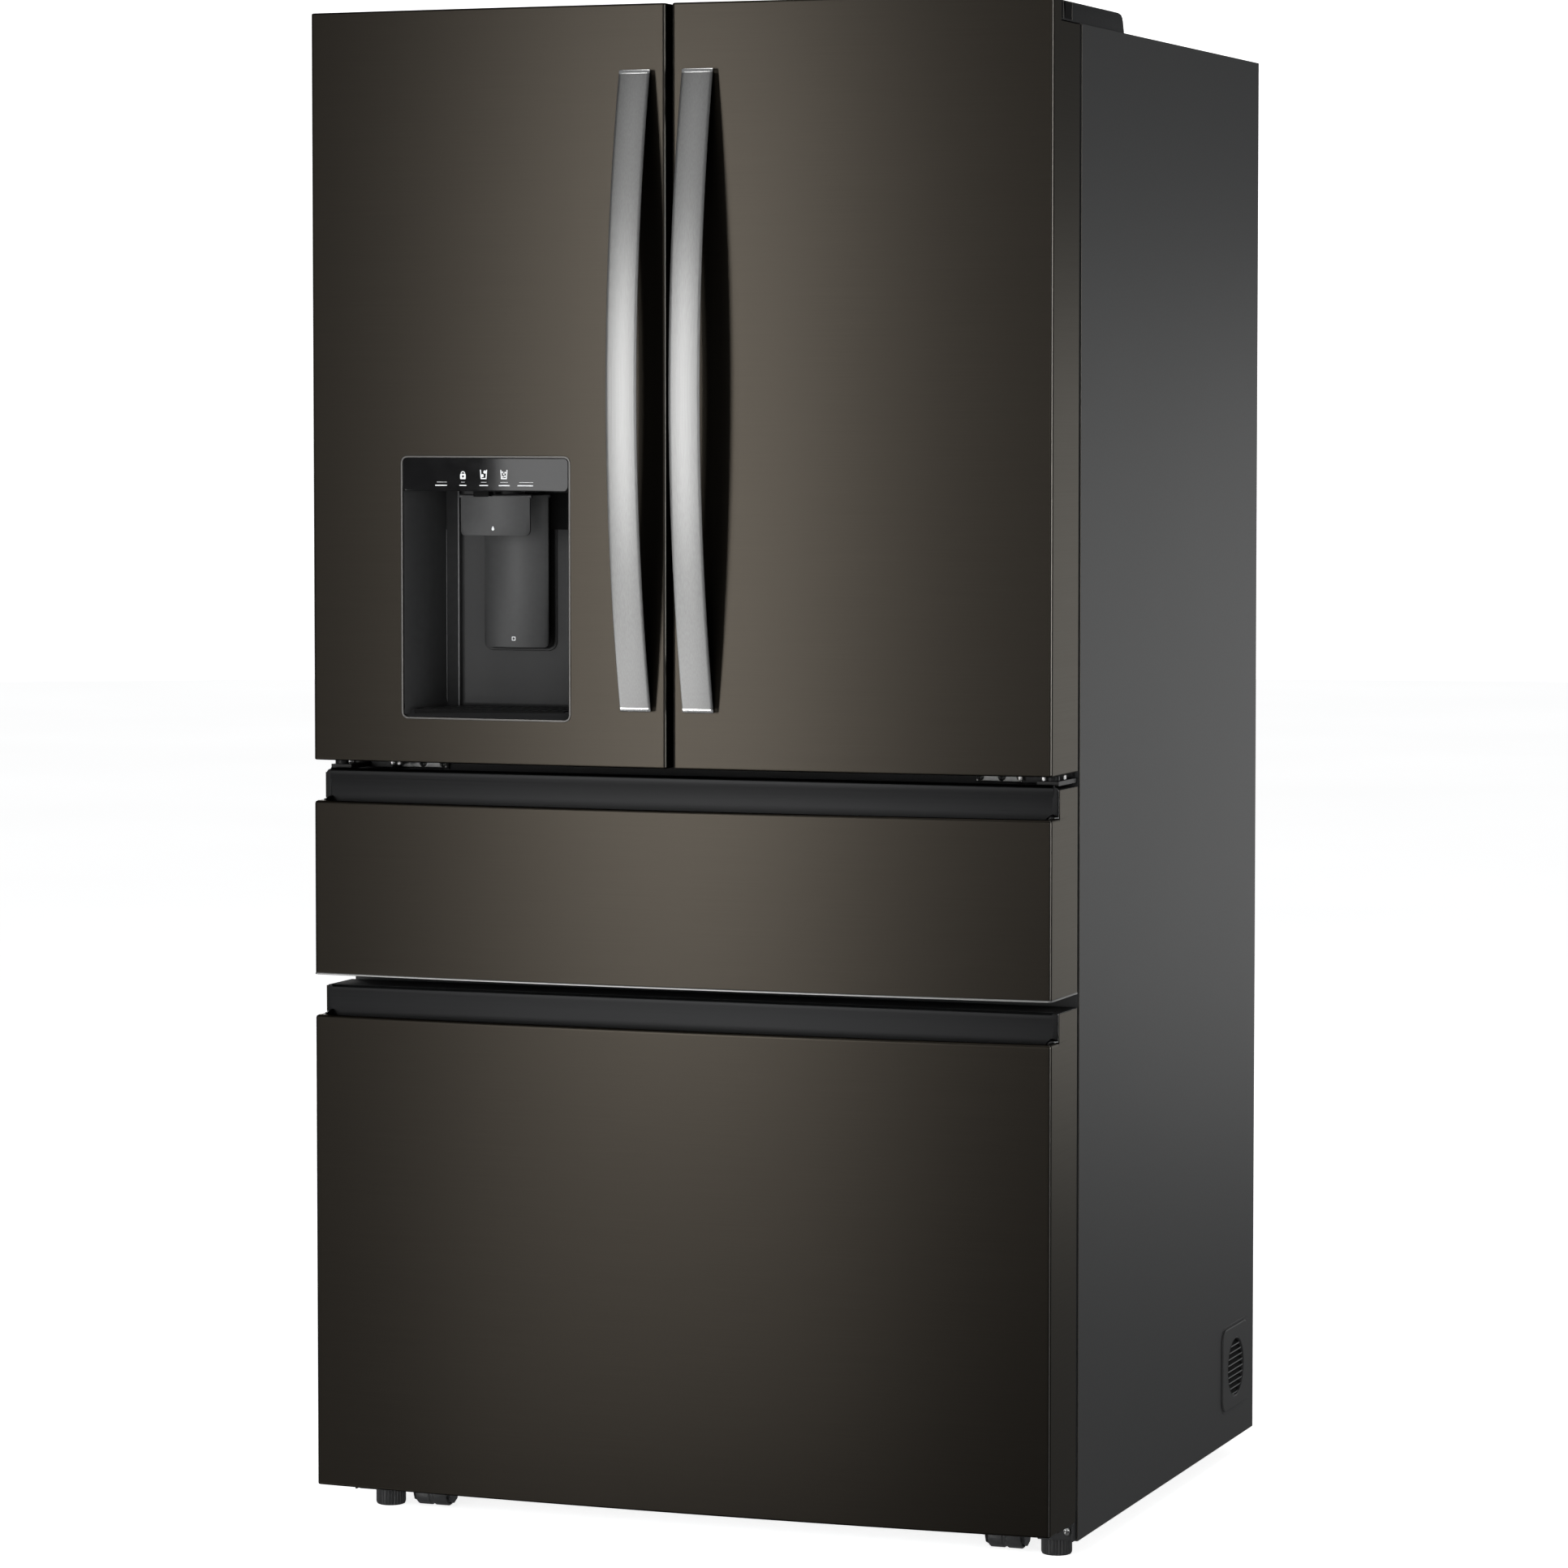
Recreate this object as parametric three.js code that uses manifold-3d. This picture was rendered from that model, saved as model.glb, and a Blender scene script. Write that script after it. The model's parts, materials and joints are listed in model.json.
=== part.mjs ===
// A 36-inch french door refrigerator: two doors over two full-width drawers.
//
// Millimetres, +Z up, +X to the right seen from the front, +Y to the back.
// Heights count from the floor. Depths count from the crown of the fronts, the
// foremost line of the doors, and the last lines move the whole group so that
// its origin is the bottom centre of its bounding box.

import * as THREE from "three";
import { mergeVertices } from "three/addons/utils/BufferGeometryUtils.js";
import Module from "manifold-3d";

// ---------------------------------------------------------------- dimensions

const GAP = 0.4; // between pieces that touch
const SHEET = 1.2; // outer steel

const FRONT_HALF = 454; // half the width over the fronts
const CROWN = 13.7; // how far the outer edges of the fronts lie behind the middle
const CORNER = 3.5; // radius of the fronts' vertical edges
const DOOR_BACK = 113; // rear face of the doors and drawer fronts

const CABINET_HALF = 452.5;
const CABINET_FRONT = 126.4;
const CABINET_BACK = 885.7;
const CABINET_BOTTOM = 20.4;
const CABINET_TOP = 1753;
const FLANGE = 1.5; // front flange of the cabinet

const DOOR_BOTTOM = 906.2;
const DOOR_TOP = 1779.3;
const DOOR_EDGE = 4; // half the gap between the two doors
const PIN_X = 440; // door hinge pins
const PIN_Y = 62;
const NOTCH_X = 385; // notch in a door's top rear corner, round the hinge
const NOTCH_Y = 43;
const NOTCH_Z = 1751;

const PANTRY = { bottom: 653.6, lip: 858.1, top: 890 };
const FREEZER = { bottom: 45.8, lip: 604.8, top: 637 };
const PULL_BACK = 46; // rear wall of the recessed pulls
const PULL_FRONT = 16.2;
const PULL_DEPTH = 29.6; // how far the finger trough drops below the lip
const PULL_HALF = 447;

const OPENING_HALF = 405; // inside the liners
const LINER = 2.5;
const FRESH = { low: 930, high: 1703, back: 820 };
const DRAWER_ROOM = { low: 682, high: 868, back: 760 };
const FREEZE = { low: 110, high: 615, back: 800, step: 250, stepFront: 595 };
const MACHINE = { front: 640, top: 205 }; // compartment at the rear of the base

const SEAL_OUT = 440; // door gaskets
const SEAL_WIDTH = 18;
const SEAL_BACK = 125.6;
const DYKE_BACK = 150; // raised rim of the door liners

const HANDLE_X = 38.4;
const HANDLE_WIDTH = 38;
const HANDLE_LOW = 971.5;
const HANDLE_HIGH = 1704;
const HANDLE_THICK = 9;
const HANDLE_BOW = 43;
const HANDLE_SEAT = -0.5; // back of the handle's ends, at the door's surface
const HANDLE_POSTS = [1022, 1655];

const DISPENSER = { left: -338.2, right: -122.5, low: 957.5, high: 1263.6 };
const DISPENSER_BACK = 103;
const CAVITY_BACK = 100;
const CAVITY_FLOOR = 968;
const CAVITY_TOP = 1220;

const PAN = [42, 44.5]; // the base chassis' floor
const FOOT = { x: 420, y: 150, radius: 18.2, height: 20 };
const ROLLER = { x: 361, front: 150, rear: 850, radius: 17, width: 40 };
const ROLLER_LIFT = 2.5; // the front rollers hang clear of the floor

const FAN = { x: 48, y: 770, z: 124, radius: 66 };
const COMPRESSOR = { x: -255, y: 765, radius: 82 };

// ---------------------------------------------------------------- geometry

const wasm = await Module();
wasm.setup();

function solid(geometry) {
  geometry.deleteAttribute("normal");
  geometry.deleteAttribute("uv");
  const merged = mergeVertices(geometry, 1e-3);
  const mesh = new wasm.Mesh({
    numProp: 3,
    vertProperties: merged.attributes.position.array,
    triVerts: new Uint32Array(merged.index.array),
  });
  return new wasm.Manifold(mesh);
}

// A box from its [low, high] along each axis.
function block(x, y, z) {
  const geometry = new THREE.BoxGeometry(x[1] - x[0], y[1] - y[0], z[1] - z[0]);
  geometry.translate((x[0] + x[1]) / 2, (y[0] + y[1]) / 2, (z[0] + z[1]) / 2);
  return solid(geometry);
}

// An outline extruded from low to high along an axis. Its points are [x, y]
// along z, [y, z] along x and [x, z] along y.
function prism(outline, axis, [low, high]) {
  const shape = new THREE.Shape(outline.map(([a, b]) => new THREE.Vector2(a, b)));
  const options = { depth: high - low, bevelEnabled: false, steps: 1 };
  const geometry = new THREE.ExtrudeGeometry(shape, options);
  if (axis === "x") {
    const turn = new THREE.Matrix4().makeBasis(
      new THREE.Vector3(0, 1, 0),
      new THREE.Vector3(0, 0, 1),
      new THREE.Vector3(1, 0, 0),
    );
    geometry.applyMatrix4(turn).translate(low, 0, 0);
  } else if (axis === "y") {
    geometry.rotateX(Math.PI / 2).translate(0, high, 0);
  } else {
    geometry.translate(0, 0, low);
  }
  return solid(geometry);
}

// Points of an arc, both ends included.
function arc(a, b, radius, from, to, steps) {
  return Array.from({ length: steps + 1 }, (_, i) => {
    const angle = from + ((to - from) * i) / steps;
    return [a + radius * Math.cos(angle), b + radius * Math.sin(angle)];
  });
}

function circle(a, b, radius, sides = 20) {
  return arc(a, b, radius, 0, 2 * Math.PI, sides).slice(0, sides);
}

function roundedRectangle([a0, a1], [b0, b1], radius, steps = 3) {
  const quarter = Math.PI / 2;
  return [
    ...arc(a1 - radius, b0 + radius, radius, -quarter, 0, steps),
    ...arc(a1 - radius, b1 - radius, radius, 0, quarter, steps),
    ...arc(a0 + radius, b1 - radius, radius, quarter, 2 * quarter, steps),
    ...arc(a0 + radius, b0 + radius, radius, 2 * quarter, 3 * quarter, steps),
  ];
}

const union = (...shapes) => shapes.reduce((a, b) => a.add(b));
const cut = (shape, ...tools) => tools.reduce((a, b) => a.subtract(b), shape);

// [low, high] of a range given for the right side, taken to either side.
const span = (side, near, far) => (side > 0 ? [near, far] : [-far, -near]);
const both = (half) => [-half, half];
const grown = ([low, high], by) => [low - by, high + by];

// An open-fronted box: its inside is x, y, z, and it runs forward to `front`.
function liner(x, back, z, front) {
  const walls = block(grown(x, LINER), [front, back + LINER], grown(z, LINER));
  return cut(walls, block(x, [front - 1, back], z));
}

// An open-topped box with its outside given.
function tray(x, y, z, wall) {
  return cut(block(x, y, z), block(grown(x, -wall), grown(y, -wall), [z[0] + wall, z[1] + 1]));
}

// A flat ring in the XZ plane with its outside given.
function ring(x, y, z, width) {
  const hole = block(grown(x, -width), grown(y, 1), grown(z, -width));
  return cut(block(x, y, z), hole);
}

// ---------------------------------------------------------------- finishes

const FINISHES = {
  blackStainless: { color: 0x4b463f, roughness: 0.34, metalness: 0.9 },
  handleSteel: { color: 0xb4b0a8, roughness: 0.28, metalness: 1 },
  cabinetPaint: { color: 0x45464a, roughness: 0.55, metalness: 0.2 },
  darkTrim: { color: 0x2b2c2f, roughness: 0.5, metalness: 0.1 },
  blackPlastic: { color: 0x17181a, roughness: 0.45, metalness: 0 },
  glossBlack: { color: 0x0b0c0e, roughness: 0.12, metalness: 0 },
  whiteLiner: { color: 0xe9ebec, roughness: 0.35, metalness: 0 },
  clearPlastic: { color: 0xdfe6ea, roughness: 0.1, metalness: 0 },
  glass: { color: 0xd4e2e2, roughness: 0.05, metalness: 0 },
  foam: { color: 0xe6d9a8, roughness: 0.95, metalness: 0 },
  galvanised: { color: 0x9da1a4, roughness: 0.45, metalness: 0.8 },
  rubber: { color: 0x3a3b3d, roughness: 0.85, metalness: 0 },
  blackPaint: { color: 0x141416, roughness: 0.4, metalness: 0.3 },
  copper: { color: 0xa8643c, roughness: 0.4, metalness: 0.9 },
  aluminium: { color: 0xb9bcbf, roughness: 0.4, metalness: 0.9 },
};

const refrigerator = new THREE.Group();

function assembly() {
  const group = new THREE.Group();
  refrigerator.add(group);
  return group;
}

function add(group, name, shape, finish, place = [0, 0, 0]) {
  const { vertProperties, triVerts } = shape.getMesh();
  const geometry = new THREE.BufferGeometry();
  geometry.setAttribute("position", new THREE.BufferAttribute(vertProperties, 3));
  geometry.setIndex(new THREE.BufferAttribute(triVerts, 1));
  geometry.computeVertexNormals();
  const mesh = new THREE.Mesh(geometry, new THREE.MeshStandardMaterial(FINISHES[finish]));
  mesh.name = name;
  mesh.position.set(...place);
  group.add(mesh);
}

// ---------------------------------------------------------------- the fronts

const CROWN_RADIUS = (FRONT_HALF ** 2 + CROWN ** 2) / (2 * CROWN);
const frontY = (x) => CROWN_RADIUS - Math.sqrt(CROWN_RADIUS ** 2 - x * x);

// The crowned front's plan outline between two x, inset by a distance.
function frontOutline([left, right], back, inset) {
  const [a, b] = [left + inset, right - inset];
  const radius = Math.max(CORNER - inset, 1);
  const steps = Math.max(4, Math.round((b - a) / 45));
  const corner = (x, from) =>
    arc(x, frontY(x) + inset + radius, radius, from, from + Math.PI / 2, 3);
  const middle = Array.from({ length: steps - 1 }, (_, i) => {
    const x = a + radius + ((b - a - 2 * radius) * (i + 1)) / steps;
    return [x, frontY(x) + inset];
  });
  return [
    [a, back],
    ...corner(a + radius, Math.PI),
    ...middle,
    ...corner(b - radius, 1.5 * Math.PI),
    [b, back],
  ];
}

function frontSolid(x, z, inset = 0, back = DOOR_BACK) {
  return prism(frontOutline(x, back, inset), "z", z);
}

// The bent steel skin: a crowned front with both sides folded back.
function frontSkin(x, z) {
  return cut(frontSolid(x, z), frontSolid(x, grown(z, 1), SHEET, DOOR_BACK + 5));
}

// ---------------------------------------------------------------- cabinet

const cabinet = assembly();

const openings = [FRESH, DRAWER_ROOM, FREEZE];
const rearStart = MACHINE.top + 5;

function buildWrapper() {
  const outside = block(
    both(CABINET_HALF),
    [CABINET_FRONT, CABINET_BACK],
    [CABINET_BOTTOM, CABINET_TOP],
  );
  const inside = block(
    both(CABINET_HALF - SHEET),
    [CABINET_FRONT + FLANGE, CABINET_BACK + 5],
    [0, CABINET_TOP - SHEET],
  );
  const flangeDepth = [CABINET_FRONT - 1, CABINET_FRONT + FLANGE + 0.1];
  const mouths = openings.map((o) => block(both(OPENING_HALF), flangeDepth, [o.low, o.high]));
  const kick = block(both(440), flangeDepth, [0, 45]);
  const vent = prism(circle(796, 112, 37, 20), "x", [440, 460]);
  return cut(outside, inside, ...mouths, kick, vent);
}

const freezeFront = CABINET_FRONT + FLANGE + GAP;

function buildFreezerLiner() {
  const low = liner(both(OPENING_HALF), FREEZE.stepFront, [FREEZE.low, FREEZE.high], freezeFront);
  const high = liner(both(OPENING_HALF), FREEZE.back, [FREEZE.step, FREEZE.high], freezeFront);
  const inside = union(
    block(both(OPENING_HALF), [100, FREEZE.stepFront], [FREEZE.low, FREEZE.high]),
    block(both(OPENING_HALF), [100, FREEZE.back], [FREEZE.step, FREEZE.high]),
  );
  return union(cut(union(low, high), inside), ledges(457, [170, 700]));
}

// The shelves in a liner's side walls that a drawer's rails run on.
function ledges(top, y) {
  const one = (side) => block(span(side, 399, OPENING_HALF + 1), y, [top - 6, top]);
  return union(one(1), one(-1));
}

function buildFoam() {
  const outside = block(
    both(CABINET_HALF - SHEET - GAP),
    [freezeFront, 880],
    [PAN[1] + GAP, CABINET_TOP - SHEET - GAP],
  );
  const room = (z, back) =>
    block(both(OPENING_HALF + LINER + GAP), [0, back + LINER + GAP], grown(z, LINER + GAP));
  return cut(
    outside,
    room([FRESH.low, FRESH.high], FRESH.back),
    room([DRAWER_ROOM.low, DRAWER_ROOM.high], DRAWER_ROOM.back),
    room([FREEZE.low, FREEZE.high], FREEZE.stepFront),
    room([FREEZE.step, FREEZE.high], FREEZE.back),
    block(both(500), [MACHINE.front, 900], [0, MACHINE.top]),
  );
}

// Two cheeks that hold a roller's axle, which runs between them.
function rollerFork(x, y, z) {
  const half = ROLLER.width / 2;
  const cheek = (side) =>
    union(
      block(span(side, half + 1.5, half + 4), both(20), [z, PAN[0] + 1]),
      prism(circle(0, z, 14, 8), "x", span(side, half + 1.5, half + 4)),
      prism(circle(0, z, 5, 8), "x", span(side, half - 8, half + 2)),
    );
  return union(cheek(1), cheek(-1)).translate([x, y, 0]);
}

// The front corner bracket that a levelling foot screws into.
function footBracket(side) {
  return union(
    block(span(side, 405, 449), [123.5, 126], [20.6, 60]),
    block(span(side, 400, 439), [123.5, 172], [23, 26]),
    block(span(side, 400, 403), [123.5, 172], [23, PAN[0] + 1]),
  );
}

function buildChassis() {
  const half = CABINET_HALF - SHEET - GAP;
  const pan = block(both(half), [CABINET_FRONT + FLANGE + GAP, 880], PAN);
  const sides = [1, -1];
  const forks = sides.flatMap((s) => [
    rollerFork(s * ROLLER.x, ROLLER.front, ROLLER.radius + ROLLER_LIFT),
    rollerFork(s * ROLLER.x, ROLLER.rear, ROLLER.radius),
  ]);
  const stays = [150, 388].map((x) => block([x, x + 6], [755, 765.5], [PAN[1] - 1, 188]));
  const stems = sides.map((s) => prism(circle(s * FOOT.x, FOOT.y, 6, 8), "z", [20, 60]));
  return cut(union(pan, ...forks, ...stays, ...sides.map(footBracket)), ...stems);
}

function buildRearCover() {
  const plate = block(both(450), [880.5, 882], [PAN[1] + 1, rearStart - 1]);
  const slots = [];
  for (let row = 0; row < 5; row++) {
    const z = 75 + row * 22;
    for (const x of [-300, -100, 100, 300])
      slots.push(block(both(70), [870, 890], [z, z + 9]).translate([x, 0, 0]));
  }
  const inlet = block([330, 370], [881, 885], [185, 203]);
  return union(cut(plate, ...slots), inlet);
}

function buildCompressor() {
  const r = COMPRESSOR.radius;
  const profile = [
    [0, 56],
    [r * 0.7, 56],
    [r * 0.94, 64],
    [r, 82],
    [r, 132],
    [r * 0.93, 160],
    [r * 0.7, 180],
    [r * 0.35, 189],
    [0, 191],
  ];
  const points = profile.map(([a, b]) => new THREE.Vector2(a, b));
  const pot = solid(new THREE.LatheGeometry(points, 24).rotateX(Math.PI / 2));
  const foot = block(both(100), both(60), [PAN[1] + 10, PAN[1] + 14]);
  const grommets = [1, -1].flatMap((s) =>
    [1, -1].map((t) => prism(circle(s * 86, t * 46, 9, 10), "z", [PAN[1] + GAP, PAN[1] + 16])),
  );
  return union(pot, foot, ...grommets);
}

// A serpentine tube in the XZ plane: straight passes joined by half turns.
function serpentine([left, right], z0, passes, pitch, radius, sides, y) {
  const path = new THREE.CurvePath();
  for (let i = 0; i < passes; i++) {
    const z = z0 + i * pitch;
    const [from, to] = i % 2 ? [right, left] : [left, right];
    path.add(new THREE.LineCurve3(new THREE.Vector3(from, y, z), new THREE.Vector3(to, y, z)));
    if (i === passes - 1) break;
    const out = i % 2 ? -1 : 1;
    const bend = arc(0, 0, pitch / 2, -Math.PI / 2, Math.PI / 2, 4);
    const points = bend.map(([a, b]) => new THREE.Vector3(to + out * a, y, z + pitch / 2 + b));
    for (let k = 0; k < 4; k++) path.add(new THREE.LineCurve3(points[k], points[k + 1]));
  }
  const corners = path.getPoints(1);
  const route = new THREE.CurvePath();
  for (let k = 0; k + 1 < corners.length; k++)
    route.add(new THREE.LineCurve3(corners[k], corners[k + 1]));
  const section = new THREE.Shape(circle(0, 0, radius, sides).map((p) => new THREE.Vector2(...p)));
  const steps = passes * 9;
  const options = { steps, bevelEnabled: false, extrudePath: route };
  return solid(new THREE.ExtrudeGeometry(section, options));
}

function buildEvaporator() {
  const fins = [];
  for (let i = 0; i < 8; i++)
    fins.push(block(both(1), [754, 790], [300, 520]).translate([-266 + i * 76, 0, 0]));
  const tubes = [0, 1, 2].map((k) => prism(circle(772, 325 + 84 * k, 5, 6), "x", both(285)));
  return union(...fins, ...tubes);
}

function buildShroud() {
  const plate = block([62, 65], [680, 860], [PAN[1] + GAP, 202]);
  const hole = prism(circle(FAN.y, FAN.z, FAN.radius + 5, 24), "x", [60, 70]);
  const motor = prism(circle(FAN.y, FAN.z, 24, 16), "x", [68, 104]);
  const arm = (angle) => {
    const bar = new THREE.BoxGeometry(6, FAN.radius + 12, 9);
    bar.translate(0, (FAN.radius + 12) / 2, 0).rotateX(angle);
    return solid(bar.translate(68, FAN.y, FAN.z));
  };
  const arms = [0, 1, 2].map((k) => arm(Math.PI / 2 + (k * 2 * Math.PI) / 3));
  return union(cut(plate, hole), motor, ...arms);
}

function buildFan() {
  const hub = prism(circle(0, 0, 18, 16), "x", both(9));
  const blades = [0, 1, 2, 3, 4].map((k) => {
    const blade = new THREE.BoxGeometry(2, FAN.radius - 12, 30);
    blade.rotateY(0.6).translate(0, (FAN.radius - 12) / 2 + 12, 0);
    return solid(blade.rotateX((k * 2 * Math.PI) / 5));
  });
  return union(hub, ...blades);
}

function buildShelf(y, z) {
  const pane = block(both(396), y, [z, z + 4]);
  const rail = block(both(396), [y[0] - 6, y[0] + 1], [z - 8, z + 8]);
  const back = block(both(396), [y[1] - 1, y[1] + 5], [z - 8, z + 14]);
  return union(pane, rail, back);
}

const freshFront = CABINET_FRONT + FLANGE + GAP;

add(cabinet, "cabinet_wrapper", buildWrapper(), "cabinetPaint");
add(cabinet, "cabinet_foam", buildFoam(), "foam");
add(
  cabinet,
  "fresh_food_liner",
  liner(both(OPENING_HALF), FRESH.back, [FRESH.low, FRESH.high], freshFront),
  "whiteLiner",
);
add(
  cabinet,
  "pantry_liner",
  union(
    liner(both(OPENING_HALF), DRAWER_ROOM.back, [DRAWER_ROOM.low, DRAWER_ROOM.high], freshFront),
    ledges(757, [170, 750]),
  ),
  "whiteLiner",
);
add(cabinet, "freezer_liner", buildFreezerLiner(), "whiteLiner");
add(cabinet, "base_chassis", buildChassis(), "galvanised");
add(cabinet, "rear_panel", block(both(450), [880.5, 882], [rearStart, 1750]), "galvanised");
add(cabinet, "rear_cover", buildRearCover(), "galvanised");
add(cabinet, "compressor", buildCompressor(), "blackPaint", [COMPRESSOR.x, COMPRESSOR.y, 0]);
add(cabinet, "condenser_coil", serpentine([150, 394], 62, 6, 24, 4, 6, 770), "copper");
add(cabinet, "fan_shroud", buildShroud(), "blackPlastic");
add(
  cabinet,
  "air_duct",
  prism(roundedRectangle(both(95), [1010, 1690], 20), "y", [790, FRESH.back - GAP]),
  "whiteLiner",
);
add(
  cabinet,
  "evaporator_cover",
  cut(
    block(both(401), [735, 739], [FREEZE.step + 3, FREEZE.high - 3]),
    ...[-240, -120, 0, 120, 240].map((x) =>
      block(both(45), [730, 745], [560, 576]).translate([x, 0, 0]),
    ),
  ),
  "whiteLiner",
);
add(cabinet, "evaporator_coil", buildEvaporator(), "aluminium");
add(cabinet, "shelf_upper", buildShelf([320, 780], 1480), "glass");
add(cabinet, "shelf_lower", buildShelf([320, 780], 1290), "glass");
add(cabinet, "crisper_cover", buildShelf([300, 780], 1135), "glass");
for (const side of [-1, 1]) {
  const name = side < 0 ? "crisper_left" : "crisper_right";
  add(cabinet, name, tray(both(192), [290, 770], [934, 1115], 3), "clearPlastic", [
    side * 197,
    0,
    0,
  ]);
}

const fan = assembly();
add(fan, "condenser_fan", buildFan(), "blackPlastic", [FAN.x, FAN.y, FAN.z]);

// ---------------------------------------------------------------- hinges

// The steel hinge on the cabinet's top, with its pin reaching down into the door.
function topHinge(side) {
  const z = [CABINET_TOP + GAP, CABINET_TOP + 4];
  const plate = block(span(side, 404, 436), [84, 285], z);
  const nose = prism(circle(side * PIN_X, PIN_Y, 9, 16), "z", z);
  const neck = block(span(side, 418, 448), [PIN_Y, 110], z);
  const pin = prism(circle(side * PIN_X, PIN_Y, 5, 16), "z", [1737, CABINET_TOP + 3]);
  return union(plate, nose, neck, pin);
}

// The moulded cover over it: hollow below, rounded at its rear end.
function hingeCover(side) {
  const top = 1777.5;
  const shell = (y0, y1, z1, radius) => [
    [y0, CABINET_TOP + GAP],
    [y0, z1 - 4],
    ...arc(y0 + 4, z1 - 4, 4, Math.PI, Math.PI / 2, 3),
    ...arc(y1 - radius, z1 - radius, radius, Math.PI / 2, 0, 5),
    [y1, CABINET_TOP + GAP],
  ];
  const outer = prism(shell(49, 307, top, 22), "x", span(side, 389, 449.5));
  const inner = prism(shell(51.5, 304.5, top - 2.5, 19.5), "x", span(side, 391.5, 451));
  const outerWall = block(span(side, 448.5, 450), [49, 290], [CABINET_TOP + GAP, top - 6]);
  const floorCut = block(span(side, 391.5, 447), [51.5, 300], [1750, 1758]);
  const nose = prism(circle(side * PIN_X, PIN_Y, 11, 16), "z", [1750, 1760]);
  return cut(union(cut(outer, inner), outerWall), floorCut, nose);
}

// The bracket between the doors and the upper drawer that carries a door.
function midHinge(side) {
  return union(
    block(span(side, 329, 446), [121.5, 126], [891.5, 904.5]),
    block(span(side, 424, 450), [PIN_Y - 9, 124], [893.5, 899]),
    prism(circle(side * PIN_X, PIN_Y, 5, 16), "z", [895, 921]),
    prism(circle(side * PIN_X, PIN_Y, 8, 16), "z", [898, 904.8]),
  );
}

for (const side of [-1, 1]) {
  const word = side < 0 ? "left" : "right";
  add(cabinet, `hinge_top_${word}`, topHinge(side), "galvanised");
  add(cabinet, `hinge_cover_${word}`, hingeCover(side), "darkTrim");
  add(cabinet, `hinge_mid_${word}`, midHinge(side), "galvanised");
}

// ---------------------------------------------------------------- feet and rollers

function buildFoot() {
  const ribs = 18;
  const outline = Array.from({ length: ribs * 2 }, (_, i) => {
    const radius = i % 2 ? FOOT.radius : FOOT.radius - 1.6;
    const angle = (i * Math.PI) / ribs;
    return [radius * Math.cos(angle), radius * Math.sin(angle)];
  });
  const knob = prism(outline, "z", [0, FOOT.height]);
  return union(knob, prism(circle(0, 0, 4.8, 12), "z", [FOOT.height - 1, 43]));
}

function buildRoller() {
  const half = ROLLER.width / 2;
  const barrel = prism(circle(0, 0, ROLLER.radius, 24), "x", both(half));
  return cut(barrel, prism(circle(0, 0, 5.2, 12), "x", both(half + 1)));
}

for (const side of [-1, 1]) {
  const word = side < 0 ? "left" : "right";
  add(assembly(), `foot_${word}`, buildFoot(), "blackPlastic", [side * FOOT.x, FOOT.y, 0]);
  for (const [end, y, lift] of [
    ["front", ROLLER.front, ROLLER_LIFT],
    ["rear", ROLLER.rear, 0],
  ]) {
    const place = [side * ROLLER.x, y, ROLLER.radius + lift];
    add(assembly(), `roller_${end}_${word}`, buildRoller(), "blackPlastic", place);
  }
}

// ---------------------------------------------------------------- doors

const doorRange = (side) => span(side, DOOR_EDGE, FRONT_HALF);

function hingeNotch(side, slack) {
  return block(
    span(side, NOTCH_X - slack, 500),
    [NOTCH_Y - slack, 200],
    [NOTCH_Z - slack, 1900],
  );
}

function dispenserHole(slack) {
  const x = [DISPENSER.left - slack, DISPENSER.right + slack];
  const z = [DISPENSER.low - slack, DISPENSER.high + slack];
  return prism(roundedRectangle(x, z, 8), "y", [-20, DISPENSER_BACK + slack]);
}

function doorSkin(side) {
  return cut(frontSkin(doorRange(side), [DOOR_BOTTOM, DOOR_TOP]), hingeNotch(side, 0));
}

// The foamed body of a door with its moulded inner face: a raised rim, the
// dyke, holds the bins, and the hinge pins turn in two bores.
function doorCore(side) {
  const z = [DOOR_BOTTOM + 0.6, DOOR_TOP - 0.6];
  const body = frontSolid(doorRange(side), z, SHEET + GAP);
  const dyke = ring(span(side, 60, 395), [DOOR_BACK - 1, DYKE_BACK], [945, 1695], 14);
  const bore = (low, high) => prism(circle(side * PIN_X, PIN_Y, 6.5, 16), "z", [low, high]);
  return cut(
    union(body, dyke),
    hingeNotch(side, 0.5),
    bore(DOOR_BOTTOM - 1, 924),
    bore(1733, DOOR_TOP),
  );
}

function doorGasket(side) {
  const x = span(side, 9, SEAL_OUT);
  return ring(x, [DOOR_BACK + GAP, SEAL_BACK], [916, 1722], SEAL_WIDTH);
}

// A bowed bar of even thickness with two short posts behind it.
function handle(x) {
  const [low, high] = [HANDLE_LOW, HANDLE_HIGH];
  const half = (high - low) / 2;
  const radius = (half ** 2 + HANDLE_BOW ** 2) / (2 * HANDLE_BOW);
  const middle = (low + high) / 2;
  const reach = Math.asin(half / radius);
  const inner = radius - HANDLE_THICK;
  const centre = HANDLE_SEAT - HANDLE_THICK - HANDLE_BOW + radius;
  const bar = [
    ...arc(centre, middle, radius, Math.PI - reach, Math.PI + reach, 22),
    ...arc(centre, middle, inner, Math.PI + reach, Math.PI - reach, 22),
  ];
  const posts = HANDLE_POSTS.map((z) =>
    block([x - 9, x + 9], [-22, HANDLE_SEAT], [z - 9, z + 9]),
  );
  const keep = block([x - 30, x + 30], [-100, HANDLE_SEAT], [low - 5, high + 5]);
  return union(
    prism(bar, "x", [x - HANDLE_WIDTH / 2, x + HANDLE_WIDTH / 2]).intersect(keep),
    ...posts,
  );
}

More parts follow.
